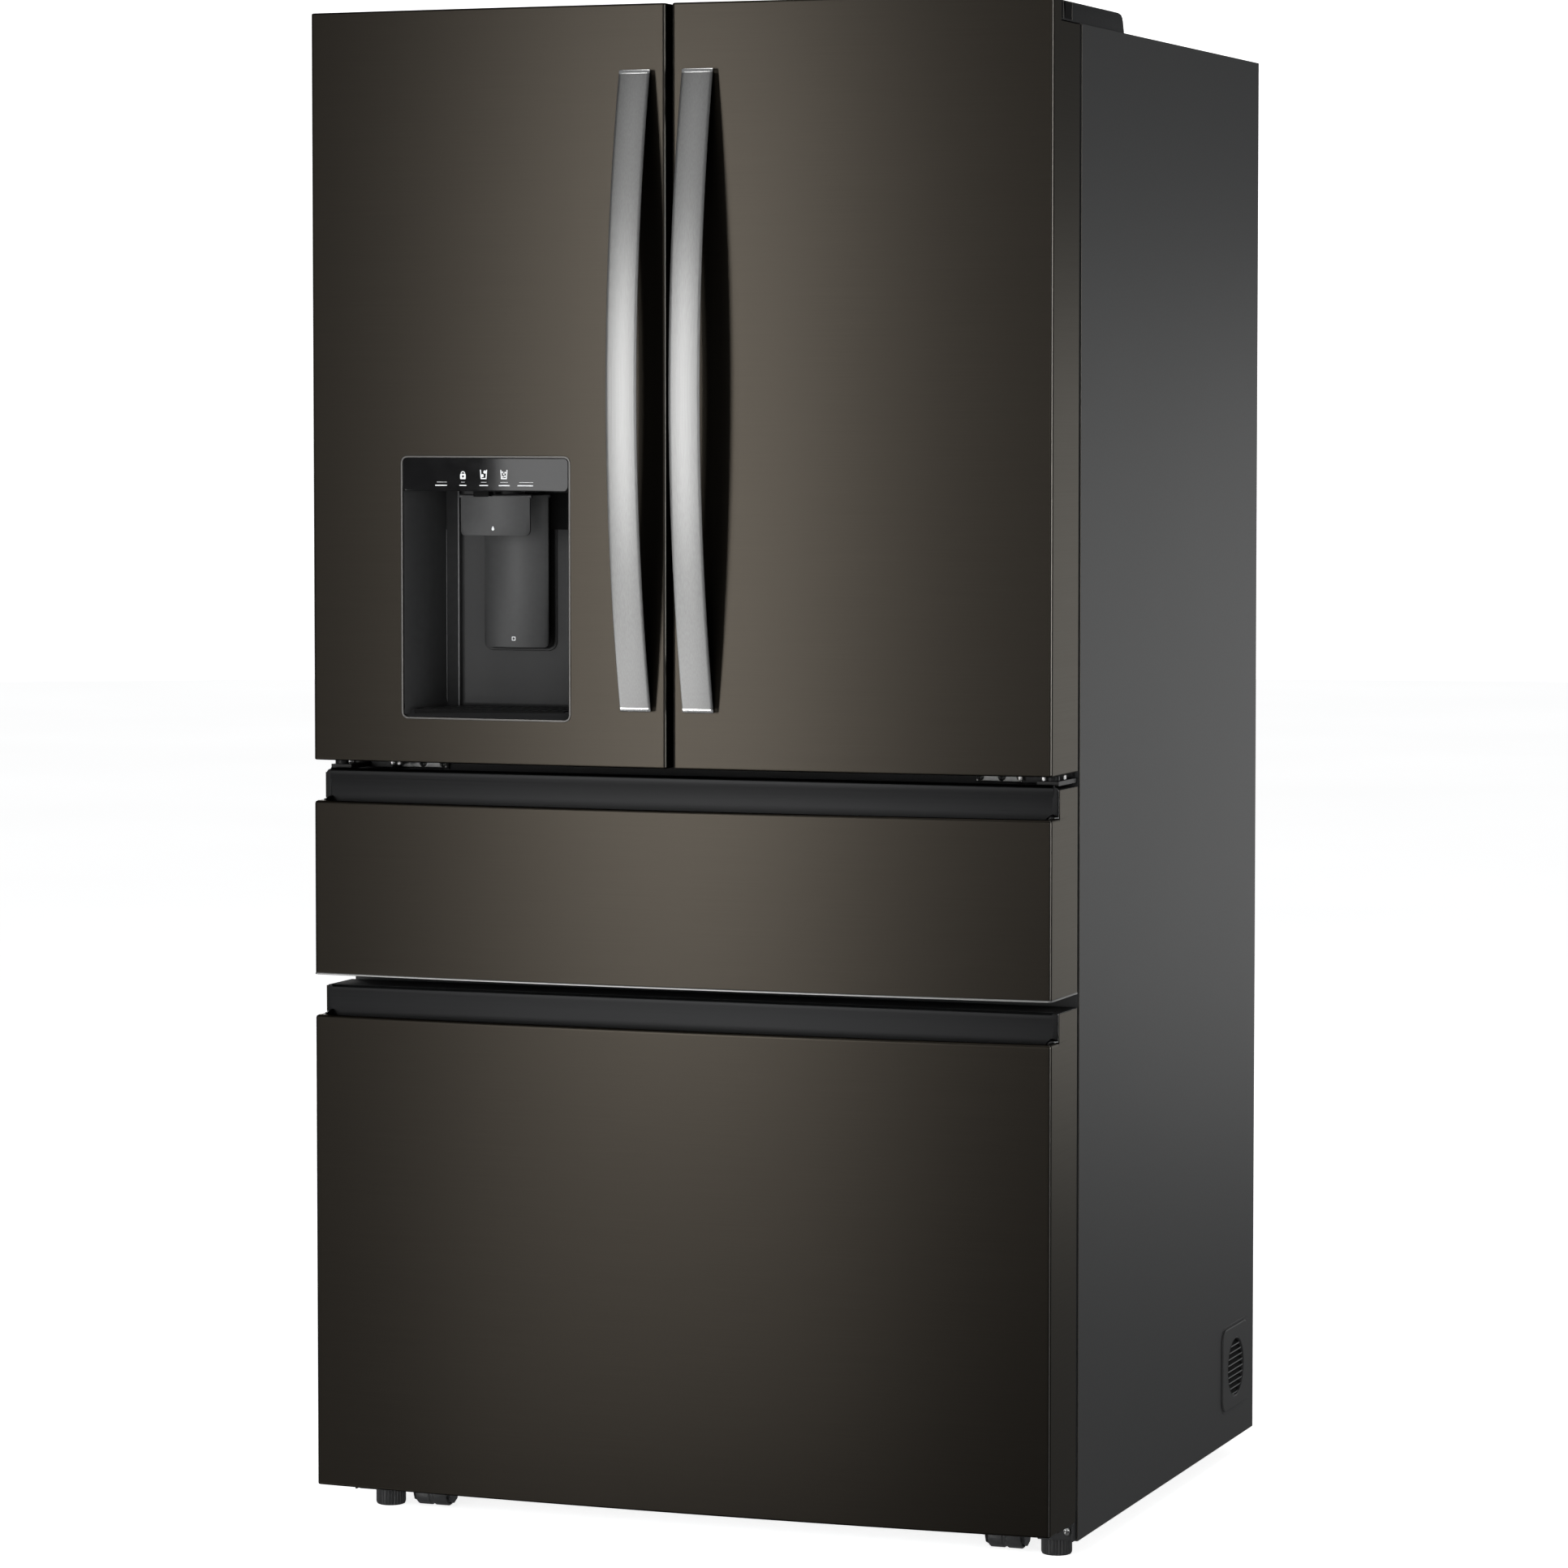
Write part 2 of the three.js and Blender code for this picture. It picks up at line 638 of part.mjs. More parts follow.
const leftDoor = assembly();
add(leftDoor, "left_door_skin", cut(doorSkin(-1), dispenserHole(0)), "blackStainless");
add(leftDoor, "left_door_core", leftCore(), "whiteLiner");
add(leftDoor, "left_door_gasket", doorGasket(-1), "rubber");
add(leftDoor, "left_handle", handle(-HANDLE_X), "handleSteel");

function leftCore() {
  const ear = (z) => block([-46, -34], [DOOR_BACK - 1, 124], [z, z + 30]);
  return cut(union(doorCore(-1), ear(1000), ear(1600)), dispenserHole(GAP));
}

const rightDoor = assembly();
add(rightDoor, "right_door_skin", doorSkin(1), "blackStainless");
add(rightDoor, "right_door_core", doorCore(1), "whiteLiner");
add(rightDoor, "right_door_gasket", doorGasket(1), "rubber");
add(rightDoor, "right_handle", handle(HANDLE_X), "handleSteel");
add(rightDoor, "right_door_bins", buildBins(), "clearPlastic");

// Three open bins on two upright rails that hang on the door's dyke.
function buildBins() {
  const rails = [67, 384].map((x) =>
    block([x, x + 4], [DYKE_BACK + GAP, DYKE_BACK + 6], [952, 1560]),
  );
  const bins = [958, 1205, 1450].map((z) =>
    tray([67, 388], [DYKE_BACK + GAP, 240], [z, z + 95], 3),
  );
  return union(...rails, ...bins);
}

// ---------------------------------------------------------------- left door fittings

function buildHousing() {
  const x = [DISPENSER.left + GAP, DISPENSER.right - GAP];
  const z = [DISPENSER.low + GAP, DISPENSER.high - GAP];
  const crown = frontSolid(both(FRONT_HALF), [900, 1300], -0.8, 300);
  const body = prism(roundedRectangle(x, z, 7.6), "y", [-20, DISPENSER_BACK]).intersect(crown);
  const cavityPlan = [
    [x[0] + 4, -30],
    [x[1] - 4, -30],
    [x[1] - 26, CAVITY_BACK],
    [x[0] + 26, CAVITY_BACK],
  ];
  const cavity = prism(cavityPlan, "z", [CAVITY_FLOOR, CAVITY_TOP]);
  const panelBed = block([x[0] + 3, x[1] - 3], [-20, 15], [CAVITY_TOP + 3.5, z[1] - 3]);
  const trayBed = block([x[0] + 12, x[1] - 12], [14, 94], [CAVITY_FLOOR - 8, CAVITY_FLOOR + 1]);
  const spout = prism(circle(-241, 54, 10, 16), "z", [CAVITY_TOP - 14, CAVITY_TOP + 1]);
  const chute = prism(circle(-225, 62, 19, 16), "z", [CAVITY_TOP - 6, CAVITY_TOP + 1]);
  return union(cut(body, cavity, panelBed, trayBed), spout, chute);
}

function buildPanel() {
  const x = [DISPENSER.left + GAP + 3.3, DISPENSER.right - GAP - 3.3];
  const z = [CAVITY_TOP + 3.8, DISPENSER.high - GAP - 3.3];
  const crown = frontSolid(both(FRONT_HALF), [900, 1300], -0.8, 300);
  return block(x, [-20, 14.6], z).intersect(crown);
}

// A blade that hangs from a round hinge barrel, with its lower corners rounded.
function buildPaddle(width, height, barrelWidth) {
  const half = width / 2;
  const outline = [
    [-half, 0],
    [-half, -height + 10],
    ...arc(-half + 10, -height + 10, 10, Math.PI, 1.5 * Math.PI, 3),
    ...arc(half - 10, -height + 10, 10, 1.5 * Math.PI, 2 * Math.PI, 3),
    [half, 0],
  ];
  const blade = prism(outline, "y", [-1.6, 1.6]);
  return union(blade, prism(circle(0, 0, 2.4, 10), "x", both(barrelWidth / 2)));
}

add(leftDoor, "dispenser_housing", buildHousing(), "blackPlastic");
add(leftDoor, "dispenser_panel", buildPanel(), "glossBlack");
add(
  leftDoor,
  "drip_tray",
  tray(
    [DISPENSER.left + 13, DISPENSER.right - 13],
    [14.4, 93.6],
    [CAVITY_FLOOR - 7.6, CAVITY_FLOOR + 1],
    2.5,
  ),
  "blackPlastic",
);
add(
  leftDoor,
  "ice_box",
  cut(
    block([-384, -70], [DYKE_BACK + GAP, 262], [1330, 1690]),
    block([-360, -98], [165, 250], [1352, 1700]),
  ),
  "whiteLiner",
);

const waterPaddle = assembly();
add(waterPaddle, "water_paddle", buildPaddle(86, 46, 92), "blackPlastic", [-227, 28, 1217]);
const icePaddle = assembly();
add(icePaddle, "ice_paddle", buildPaddle(81, 178, 86), "blackPlastic", [-225, 86, 1217]);

// The hinged bar that closes the gap between the doors from behind. It is
// folded back here, along the left door's inner edge.
const flap = assembly();
add(flap, "mullion_flap", block(both(8), [-8, 72], [945, 1690]), "darkTrim", [-40, 136, 0]);

// ---------------------------------------------------------------- drawers

const full = both(FRONT_HALF);

function drawerSkin({ bottom, lip }) {
  const lipBack = block(full, [-1, 15.4], [lip - SHEET, lip]);
  const topLip = frontSolid(full, [lip - SHEET, lip]).intersect(lipBack);
  return union(frontSkin(full, [bottom, lip]), topLip);
}

function drawerCore({ bottom, lip, top }) {
  const front = frontSolid(full, [bottom + 0.6, lip - PULL_DEPTH - 1], SHEET + GAP);
  const rear = block(both(FRONT_HALF - SHEET - GAP), [PULL_BACK + GAP, DOOR_BACK], [
    bottom + 0.6,
    top,
  ]);
  return union(front, rear);
}

// The pull: a finger trough behind the front's top lip that runs up into a
// flat rear wall, with closed ends.
function drawerPull({ lip, top }) {
  const wall = 1.4;
  const [front, back] = [PULL_FRONT, PULL_BACK];
  const outer = (back - front) / 2;
  const middle = (back + front) / 2;
  const bend = lip - PULL_DEPTH + outer;
  const profile = [
    [front, lip - SHEET - GAP],
    ...arc(middle, bend, outer, Math.PI, 2 * Math.PI, 8),
    [back, top - GAP],
    [back - wall, top - GAP],
    ...arc(middle, bend, outer - wall, 2 * Math.PI, Math.PI, 8),
    [front + wall, lip - SHEET - GAP],
  ];
  const cap = [
    [front, lip - SHEET - GAP],
    ...arc(middle, bend, outer, Math.PI, 2 * Math.PI, 8),
    [back, lip - SHEET - GAP],
  ];
  const end = (side) => prism(cap, "x", span(side, PULL_HALF - 2, PULL_HALF));
  const wings = block(both(FRONT_HALF - 0.5), [back - wall, back], [lip + GAP, top - GAP]);
  return union(prism(profile, "x", both(PULL_HALF)), end(1), end(-1), wings);
}

function drawerGasket(z) {
  return ring(both(SEAL_OUT), [DOOR_BACK + GAP, SEAL_BACK], z, SEAL_WIDTH);
}

// An open bin with a runner along each side that hooks on the drawer front.
function drawerBin(y, z, runner) {
  const one = (side) =>
    union(
      block(span(side, 391, 396), [DOOR_BACK + GAP, y[1]], runner),
      block(span(side, 384, 392), [y[0] + 20, y[1] - 20], [runner[0], runner[0] + 4]),
    );
  return union(tray(both(386), y, z, 3), one(1), one(-1));
}

// The middle members of both telescopic slides, tied by a shaft at the rear so
// that they keep level.
function slideRails(y, z) {
  const rail = (side) => block(span(side, 398.5, 403), y, z);
  const middle = (z[0] + z[1]) / 2;
  const shaft = prism(circle(y[1] - 8, middle, 5, 10), "x", both(400));
  return union(rail(1), rail(-1), shaft);
}

const pantry = assembly();
add(pantry, "pantry_skin", drawerSkin(PANTRY), "blackStainless");
add(pantry, "pantry_core", drawerCore(PANTRY), "whiteLiner");
add(pantry, "pantry_pull", drawerPull(PANTRY), "darkTrim");
add(pantry, "pantry_gasket", drawerGasket([664, 886]), "rubber");
add(pantry, "pantry_bin", drawerBin([128, 705], [690, 842], [762, 786]), "clearPlastic");
add(assembly(), "pantry_rails", slideRails([180, 738], [758, 788]), "galvanised");

const freezer = assembly();
add(freezer, "freezer_skin", drawerSkin(FREEZER), "blackStainless");
add(freezer, "freezer_core", drawerCore(FREEZER), "whiteLiner");
add(freezer, "freezer_pull", drawerPull(FREEZER), "darkTrim");
add(freezer, "freezer_gasket", drawerGasket([92, 633]), "rubber");
add(freezer, "freezer_basket", drawerBin([128, 580], [128, 500], [462, 486]), "whiteLiner");
add(assembly(), "freezer_rails", slideRails([180, 640], [458, 488]), "galvanised");

// ---------------------------------------------------------------- origin

const foremost = HANDLE_SEAT - HANDLE_THICK - HANDLE_BOW;
refrigerator.position.set(0, -(foremost + CABINET_BACK) / 2, 0);

export default refrigerator;
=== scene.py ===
"""The looks of a french door refrigerator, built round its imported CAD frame.

Lengths in this script are millimetres in the frame of the fronts: X to the
right, Y to the back from the crown of the doors, Z up from the floor. at()
turns them into the row frame, in metres.
"""

import json
import math
from contextlib import contextmanager

import bmesh
import bpy
from mathutils import Matrix, Vector

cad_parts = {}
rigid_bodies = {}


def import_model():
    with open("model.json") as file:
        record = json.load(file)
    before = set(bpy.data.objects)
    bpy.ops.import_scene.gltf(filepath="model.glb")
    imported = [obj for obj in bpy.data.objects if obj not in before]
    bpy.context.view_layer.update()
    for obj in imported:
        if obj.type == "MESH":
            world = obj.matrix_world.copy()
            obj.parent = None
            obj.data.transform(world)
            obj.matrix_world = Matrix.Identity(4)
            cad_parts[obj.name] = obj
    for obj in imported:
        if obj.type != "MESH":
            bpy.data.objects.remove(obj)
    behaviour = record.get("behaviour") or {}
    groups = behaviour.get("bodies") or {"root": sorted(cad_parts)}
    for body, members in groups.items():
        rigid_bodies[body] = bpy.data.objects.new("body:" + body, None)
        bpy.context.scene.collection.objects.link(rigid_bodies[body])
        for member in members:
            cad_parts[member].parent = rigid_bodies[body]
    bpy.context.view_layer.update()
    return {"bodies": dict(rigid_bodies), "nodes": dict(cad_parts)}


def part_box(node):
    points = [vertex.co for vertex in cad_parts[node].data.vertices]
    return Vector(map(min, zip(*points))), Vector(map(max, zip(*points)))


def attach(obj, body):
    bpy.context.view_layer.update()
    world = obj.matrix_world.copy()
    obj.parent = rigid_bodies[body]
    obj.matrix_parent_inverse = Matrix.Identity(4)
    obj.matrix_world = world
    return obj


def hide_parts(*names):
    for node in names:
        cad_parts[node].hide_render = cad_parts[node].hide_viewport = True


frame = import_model()

kept = set(frame["nodes"].values()) | set(frame["bodies"].values())
for leftover in [o for o in bpy.data.objects if o not in kept]:
    bpy.data.objects.remove(leftover)

CROWN_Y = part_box("left_door_skin")[0].y  # the row frame's Y of the crown
CROWN = 13.7  # how far the outer edges of the fronts lie behind the middle
SHEET = 1.2  # thickness of the fronts' sheet steel


def at(x, y, z):
    return Vector((x / 1000, y / 1000 + CROWN_Y, z / 1000))


def limits(node):
    """A CAD node's box as ((x0, x1), (y0, y1), (z0, z1)), in millimetres."""
    lo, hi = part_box(node)
    return (
        (lo.x * 1000, hi.x * 1000),
        ((lo.y - CROWN_Y) * 1000, (hi.y - CROWN_Y) * 1000),
        (lo.z * 1000, hi.z * 1000),
    )


HALF = limits("pantry_skin")[0][1]
RADIUS = (HALF**2 + CROWN**2) / (2 * CROWN)


def front_y(x):
    return RADIUS - math.sqrt(RADIUS**2 - x**2)


# ---------------------------------------------------------------- materials


MATERIALS = {}


def surface(
    name, color, rough, metal, grain, tone, vary, bump=0.0, fine=900, depth=0.0001,
    smudge=0.0, level=0.5, transmission=0.0, ior=1.5, emission=0.0, edge=None,
):
    """A procedural finish, kept in MATERIALS: tone and roughness vary with a
    noise stretched by grain, and a second, finer noise gives the relief."""
    material = MATERIALS[name] = bpy.data.materials.new(name)
    material.use_nodes = True
    nodes, links = material.node_tree.nodes, material.node_tree.links
    shader = nodes["Principled BSDF"]
    shader.inputs["Metallic"].default_value = metal
    shader.inputs["Specular IOR Level"].default_value = level
    shader.inputs["IOR"].default_value = ior
    shader.inputs["Transmission Weight"].default_value = transmission
    if edge:
        shader.inputs["Specular Tint"].default_value = (*edge, 1)
    where = nodes.new("ShaderNodeTexCoord")

    def noise(scale, detail=3.0):
        mapping = nodes.new("ShaderNodeMapping")
        mapping.inputs["Scale"].default_value = scale if isinstance(scale, tuple) else (scale,) * 3
        links.new(where.outputs["Object"], mapping.inputs["Vector"])
        texture = nodes.new("ShaderNodeTexNoise")
        texture.inputs["Scale"].default_value = 1.0
        texture.inputs["Detail"].default_value = detail
        links.new(mapping.outputs["Vector"], texture.inputs["Vector"])
        return texture.outputs["Fac"]

    grain_value = noise(grain)
    ramp = nodes.new("ShaderNodeValToRGB")
    low = [min(1.0, c * (1 - tone)) for c in color]
    high = [min(1.0, c * (1 + tone)) for c in color]
    ramp.color_ramp.elements[0].position = 0.3
    ramp.color_ramp.elements[1].position = 0.7
    ramp.color_ramp.elements[0].color = (*low, 1)
    ramp.color_ramp.elements[1].color = (*high, 1)
    links.new(grain_value, ramp.inputs["Fac"])
    links.new(ramp.outputs["Color"], shader.inputs["Base Color"])
    if emission:
        links.new(ramp.outputs["Color"], shader.inputs["Emission Color"])
        shader.inputs["Emission Strength"].default_value = emission

    spread = nodes.new("ShaderNodeMapRange")
    spread.inputs["To Min"].default_value = max(0.02, rough - vary)
    spread.inputs["To Max"].default_value = min(1.0, rough + vary)
    if smudge:
        wide = noise(3.1, 4.0)
        mixed = nodes.new("ShaderNodeMath")
        mixed.operation = "MULTIPLY_ADD"
        mixed.inputs[1].default_value = smudge
        links.new(wide, mixed.inputs[0])
        links.new(grain_value, mixed.inputs[2])
        links.new(mixed.outputs["Value"], spread.inputs["Value"])
    else:
        links.new(grain_value, spread.inputs["Value"])
    links.new(spread.outputs["Result"], shader.inputs["Roughness"])

    if bump:
        relief = nodes.new("ShaderNodeBump")
        relief.inputs["Strength"].default_value = bump
        relief.inputs["Distance"].default_value = depth
        links.new(noise(fine, 2.0), relief.inputs["Height"])
        links.new(relief.outputs["Normal"], shader.inputs["Normal"])
    return material


BRUSHED = (7, 7, 1900)  # horizontal grain
UPRIGHT = (1300, 1300, 5)  # vertical grain
surface(
    "black_stainless", (0.0243, 0.0213, 0.0174), 0.295, 1.0, BRUSHED, 0.06, 0.012, bump=0.025,
    fine=BRUSHED, smudge=0.1, edge=(0.35, 0.34, 0.32),
)
surface(
    "side_stainless", (0.0182, 0.0165, 0.0141), 0.40, 1.0, (1100, 5, 1100), 0.08, 0.03, bump=0.04,
    fine=(5, 5, 900), edge=(0.9, 0.87, 0.82),
)
# A lighter steel for painted highlights: thin bands along the door corners, the cabinet's front edge and the
# hinge covers' ribs.
surface("edge_steel", (0.16, 0.15, 0.135), 0.30, 1.0, 300, 0.06, 0.04, bump=0.03, fine=700)
surface(
    "cover_plastic", (0.009, 0.0091, 0.0093), 0.5, 0.0, 260, 0.12, 0.05, bump=0.12, fine=1200,
    level=0.22,
)
surface(
    "handle_steel", (0.168, 0.168, 0.166), 0.34, 1.0, UPRIGHT, 0.10, 0.05, bump=0.08, fine=UPRIGHT,
    edge=(0.6, 0.6, 0.6),
)
surface(
    "bright_steel", (0.90, 0.90, 0.89), 0.20, 1.0, (300, 300, 60), 0.04, 0.03, bump=0.02,
    fine=(300, 300, 60),
)
surface("hinge_steel", (0.022, 0.022, 0.022), 0.45, 1.0, 200, 0.12, 0.06, bump=0.10, fine=600)
surface("line_steel", (0.27, 0.27, 0.265), 0.36, 1.0, 300, 0.05, 0.04, bump=0.03, fine=500)
surface("plate_steel", (0.30, 0.30, 0.295), 0.42, 1.0, 200, 0.12, 0.06, bump=0.10, fine=600)
surface("stud_steel", (0.50, 0.50, 0.49), 0.30, 1.0, 300, 0.08, 0.05, bump=0.05, fine=700)
surface(
    "cabinet_paint", (0.022, 0.0221, 0.0223), 0.48, 0.0, 420, 0.10, 0.05, bump=0.22, fine=520,
    depth=0.0003, smudge=0.2, level=0.25,
)
surface("dark_trim", (0.010, 0.0101, 0.0105), 0.42, 0.0, 300, 0.12, 0.05, bump=0.10, fine=1400, level=0.34)
surface(
    "pull_trim", (0.0096, 0.0097, 0.0099), 0.29, 1.0, (4, 400, 400), 0.08, 0.04, bump=0.06,
    fine=(20, 900, 900),
)
surface("black_plastic", (0.018, 0.018, 0.0185), 0.42, 0.0, 260, 0.15, 0.06, bump=0.12, fine=1500)
surface(
    "cavity_plastic", (0.020, 0.0202, 0.0205), 0.42, 0.0, 120, 0.08, 0.05, bump=0.10, fine=1300,
    level=0.15,
)
# A lighter copy of the cavity plastic for the cavity's left wall: painted light on that wall.
surface("cavity_side", (0.032, 0.0323, 0.0328), 0.45, 0.0, 120, 0.08, 0.05, bump=0.10, fine=1300, level=0.2)
surface(
    "paddle_plastic", (0.034, 0.0343, 0.0347), 0.46, 0.05, 160, 0.08, 0.05, bump=0.08, fine=1300,
    level=0.34,
)
# A lighter plastic for painted highlights: thin beads in the dispenser cavity and strips along the vent bars'
# edges.
surface("edge_plastic", (0.11, 0.111, 0.113), 0.40, 0.0, 160, 0.08, 0.05, bump=0.08, fine=1300)
surface("rim_steel", (0.075, 0.073, 0.070), 0.36, 1.0, 300, 0.08, 0.04, bump=0.06, fine=900)
surface("gloss_black", (0.003, 0.003, 0.0032), 0.06, 0.0, 60, 0.2, 0.03, level=0.4)
# The marks glow a little though they are print: painted light.
surface("mark_white", (0.60, 0.61, 0.62), 0.45, 0.0, 300, 0.05, 0.05, emission=0.16)
surface("white_liner", (0.80, 0.82, 0.83), 0.30, 0.0, 22, 0.03, 0.06, bump=0.08, fine=260, depth=0.0003)
surface("foamed_liner", (0.78, 0.80, 0.81), 0.32, 0.0, 18, 0.03, 0.06, bump=0.08, fine=240, depth=0.0003)
surface("insulation_foam", (0.72, 0.60, 0.30), 0.85, 0.0, 90, 0.18, 0.05, bump=0.5, fine=420, depth=0.0008)
surface("clear_plastic", (0.86, 0.90, 0.92), 0.10, 0.0, 30, 0.04, 0.04, transmission=0.92, ior=1.46)
surface("shelf_glass", (0.78, 0.90, 0.87), 0.05, 0.0, 20, 0.04, 0.02, transmission=0.95)
surface("zinc_steel", (0.42, 0.435, 0.45), 0.38, 1.0, 60, 0.22, 0.10, bump=0.12, fine=160, depth=0.0003)
surface(
    "rear_steel", (0.26, 0.268, 0.275), 0.42, 1.0, 26, 0.07, 0.06, bump=0.06, fine=120, depth=0.0002,
    smudge=0.15,
)
surface("seal_rubber", (0.040, 0.041, 0.043), 0.62, 0.0, 130, 0.14, 0.06, bump=0.2, fine=700, depth=0.0002)
surface("black_enamel", (0.010, 0.010, 0.011), 0.3, 0.0, 70, 0.2, 0.08, bump=0.25, fine=140, depth=0.0006)
surface("copper_tube", (0.62, 0.28, 0.14), 0.32, 1.0, 120, 0.22, 0.10, bump=0.1, fine=240, depth=0.0002)
surface(
    "fin_aluminium", (0.66, 0.68, 0.70), 0.34, 1.0, (200, 4, 200), 0.12, 0.08, bump=0.1,
    fine=(300, 6, 300), depth=0.0002,
)
surface("shadow_black", (0.004, 0.004, 0.004), 0.8, 0.0, 90, 0.2, 0.05, level=0.1)


# ---------------------------------------------------------------- mesh helpers


def weigh_normals(piece, sharp):
    """Flat faces keep flat shading beside small round edges."""
    piece.data.shade_smooth()
    piece.data.set_sharp_from_angle(angle=math.radians(sharp))
    return apply_modifier(piece, "WEIGHTED_NORMAL", keep_sharp=True, weight=100)


def finished(name, mesh, material, body, slot, sharp=38, weighted=False):
    """Links a mesh as a piece that rides on a body, in the given material. The slot is not used."""
    piece = bpy.data.objects.new(name, mesh)
    bpy.context.scene.collection.objects.link(piece)
    if not mesh.materials:
        for one in [material] if isinstance(material, str) else material:
            mesh.materials.append(MATERIALS[one])
    mesh.shade_smooth()
    mesh.set_sharp_from_angle(angle=math.radians(sharp))
    if weighted:
        weigh_normals(piece, sharp)
    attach(piece, body)
    return piece


@contextmanager
def editing(mesh):
    """Opens a mesh for work, and writes it back at the end."""
    work = bmesh.new()
    work.from_mesh(mesh)
    yield work
    work.to_mesh(mesh)
    work.free()


def clean(mesh, reach):
    """Welds the points within reach of each other and turns the faces out."""
    with editing(mesh) as work:
        bmesh.ops.remove_doubles(work, verts=work.verts, dist=reach)
        bmesh.ops.recalc_face_normals(work, faces=work.faces)


def made(name, points, faces, material, body, slot, sharp=38, kinds=None):
    """A piece from points in millimetres and faces of their numbers."""
    mesh = bpy.data.meshes.new(name)
    mesh.from_pydata([at(*p) for p in points], [], faces)
    if kinds:
        for face, kind in zip(mesh.polygons, kinds):
            face.material_index = kind
    clean(mesh, 1e-6)
    return finished(name, mesh, material, body, slot, sharp)


def evaluated(piece):
    """A new mesh of a piece as it stands, with its modifiers or curve worked out."""
    graph = bpy.context.evaluated_depsgraph_get()
    graph.update()
    return bpy.data.meshes.new_from_object(piece.evaluated_get(graph))


def apply_modifier(piece, kind, **settings):
    modifier = piece.modifiers.new(kind.lower(), kind)
    for key, value in settings.items():
        setattr(modifier, key, value)
    mesh = evaluated(piece)
    piece.modifiers.clear()
    old = piece.data
    piece.data = mesh
    bpy.data.meshes.remove(old)
    return piece


def loft(name, sections, material, body, slot, closed=True, caps=True, sharp=38, kinds=None):
    """A skin over sections with one count of points each."""
    count = len(sections[0])
    points = [p for section in sections for p in section]
    faces, kind = [], []
    turns = count if closed else count - 1
    for row in range(len(sections) - 1):
        for i in range(turns):
            j = (i + 1) % count
            a, b = row * count, (row + 1) * count
            faces.append((a + i, a + j, b + j, b + i))
            kind.append(kinds(row, i) if kinds else 0)
    if caps:
        faces.append(tuple(range(count)))
        faces.append(tuple(range(len(points) - count, len(points))))
        kind += [kinds(0, 0) if kinds else 0, kinds(len(sections) - 2, 0) if kinds else 0]
    return made(name, points, faces, material, body, slot, sharp, kinds=kind)


def arc(a, b, radius, start, end, steps):
    """Points of an arc, in degrees, both ends included."""
    turns = [math.radians(start + (end - start) * i / steps) for i in range(steps + 1)]
    return [(a + radius * math.cos(t), b + radius * math.sin(t)) for t in turns]


def rounded(a, b, radius, steps=6):
    """A rectangle's outline, anticlockwise, with round corners."""
    (a0, a1), (b0, b1) = a, b
    r = min(radius, (a1 - a0) / 2 - 0.01, (b1 - b0) / 2 - 0.01)
    return (
        arc(a1 - r, b0 + r, r, -90, 0, steps)
        + arc(a1 - r, b1 - r, r, 0, 90, steps)
        + arc(a0 + r, b1 - r, r, 90, 180, steps)
        + arc(a0 + r, b0 + r, r, 180, 270, steps)
    )


def circle(a, b, radius, sides=32):
    return arc(a, b, radius, 0, 360, sides)[:sides]


def shifted(axis, level):
    return Vector([level if axis == one else 0 for one in "xyz"])


def mirrored(s, a, b):
    """A span on the right of the middle where s is 1, and its mirror where s is -1."""
    return tuple(sorted((s * a, s * b)))


SIDES = ((-1, "left"), (1, "right"))
AXES = {
    "x": Matrix(((0, 0, 1), (1, 0, 0), (0, 1, 0))),
    "y": Matrix(((1, 0, 0), (0, 0, -1), (0, 1, 0))),
    "z": Matrix(((1, 0, 0), (0, 1, 0), (0, 0, 1))),
}


def plate(name, loops, axis, span, bevel, material, body, slot, rings=3, sharp=38):
    """A flat plate with holes, square to an axis, its edges rounded. The loops
    are (y, z) points along x, (x, z) along y and (x, y) along z."""
    low, high = min(span), max(span)
    thick = high - low
    bevel = min(bevel, thick / 2 - 0.01)
    curve = bpy.data.curves.new(name, "CURVE")
    curve.dimensions = "2D"
    curve.fill_mode = "BOTH"
    curve.extrude = thick / 2 - bevel
    curve.bevel_depth = bevel
    curve.bevel_resolution = rings
    curve.offset = -bevel
    for loop in loops:
        spline = curve.splines.new("POLY")
        spline.points.add(len(loop) - 1)
        for point, (a, b) in zip(spline.points, loop):
            point.co = (a, b, 0, 1)
        spline.use_cyclic_u = True
    holder = bpy.data.objects.new(name, curve)
    bpy.context.scene.collection.objects.link(holder)
    mesh = evaluated(holder)
    bpy.data.objects.remove(holder)
    bpy.data.curves.remove(curve)
    mesh.materials.clear()
    for vertex in mesh.vertices:
        vertex.co = at(*(AXES[axis] @ vertex.co + shifted(axis, (low + high) / 2)))
    clean(mesh, 2e-6)
    return finished(name, mesh, material, body, slot, sharp, weighted=True)


def round_edges(work, angle, width, segments):
    """Bevels every edge that is sharper than the angle."""
    sharp = math.radians(angle)
    edges = [e for e in work.edges if len(e.link_faces) == 2 and e.calc_face_angle(0) > sharp]
    bmesh.ops.bevel(
        work, geom=edges, offset=width / 1000, segments=segments, profile=0.5,
        affect="EDGES", clamp_overlap=True,
    )


def slab(name, loop, axis, span, bevel, material, body):
    """A plate of any one outline, extruded along an axis, then bevelled."""
    sections = [
        [tuple(AXES[axis] @ Vector((a, b, 0)) + shifted(axis, level)) for a, b in loop]
        for level in (min(span), max(span))
    ]
    piece = loft(name, sections, material, body, "dark_trim")
    with editing(piece.data) as work:
        round_edges(work, 28, bevel, 2)
    weigh_normals(piece, 38)


def bar(name, x, y, z, radius, material, body, slot, axis="z", rings=3):
    """A bar with every edge rounded."""
    sides = {"x": (y, z, x), "y": (x, z, y), "z": (x, y, z)}[axis]
    return plate(
        name, [rounded(sides[0], sides[1], radius)], axis, sides[2], radius, material, body, slot, rings
    )


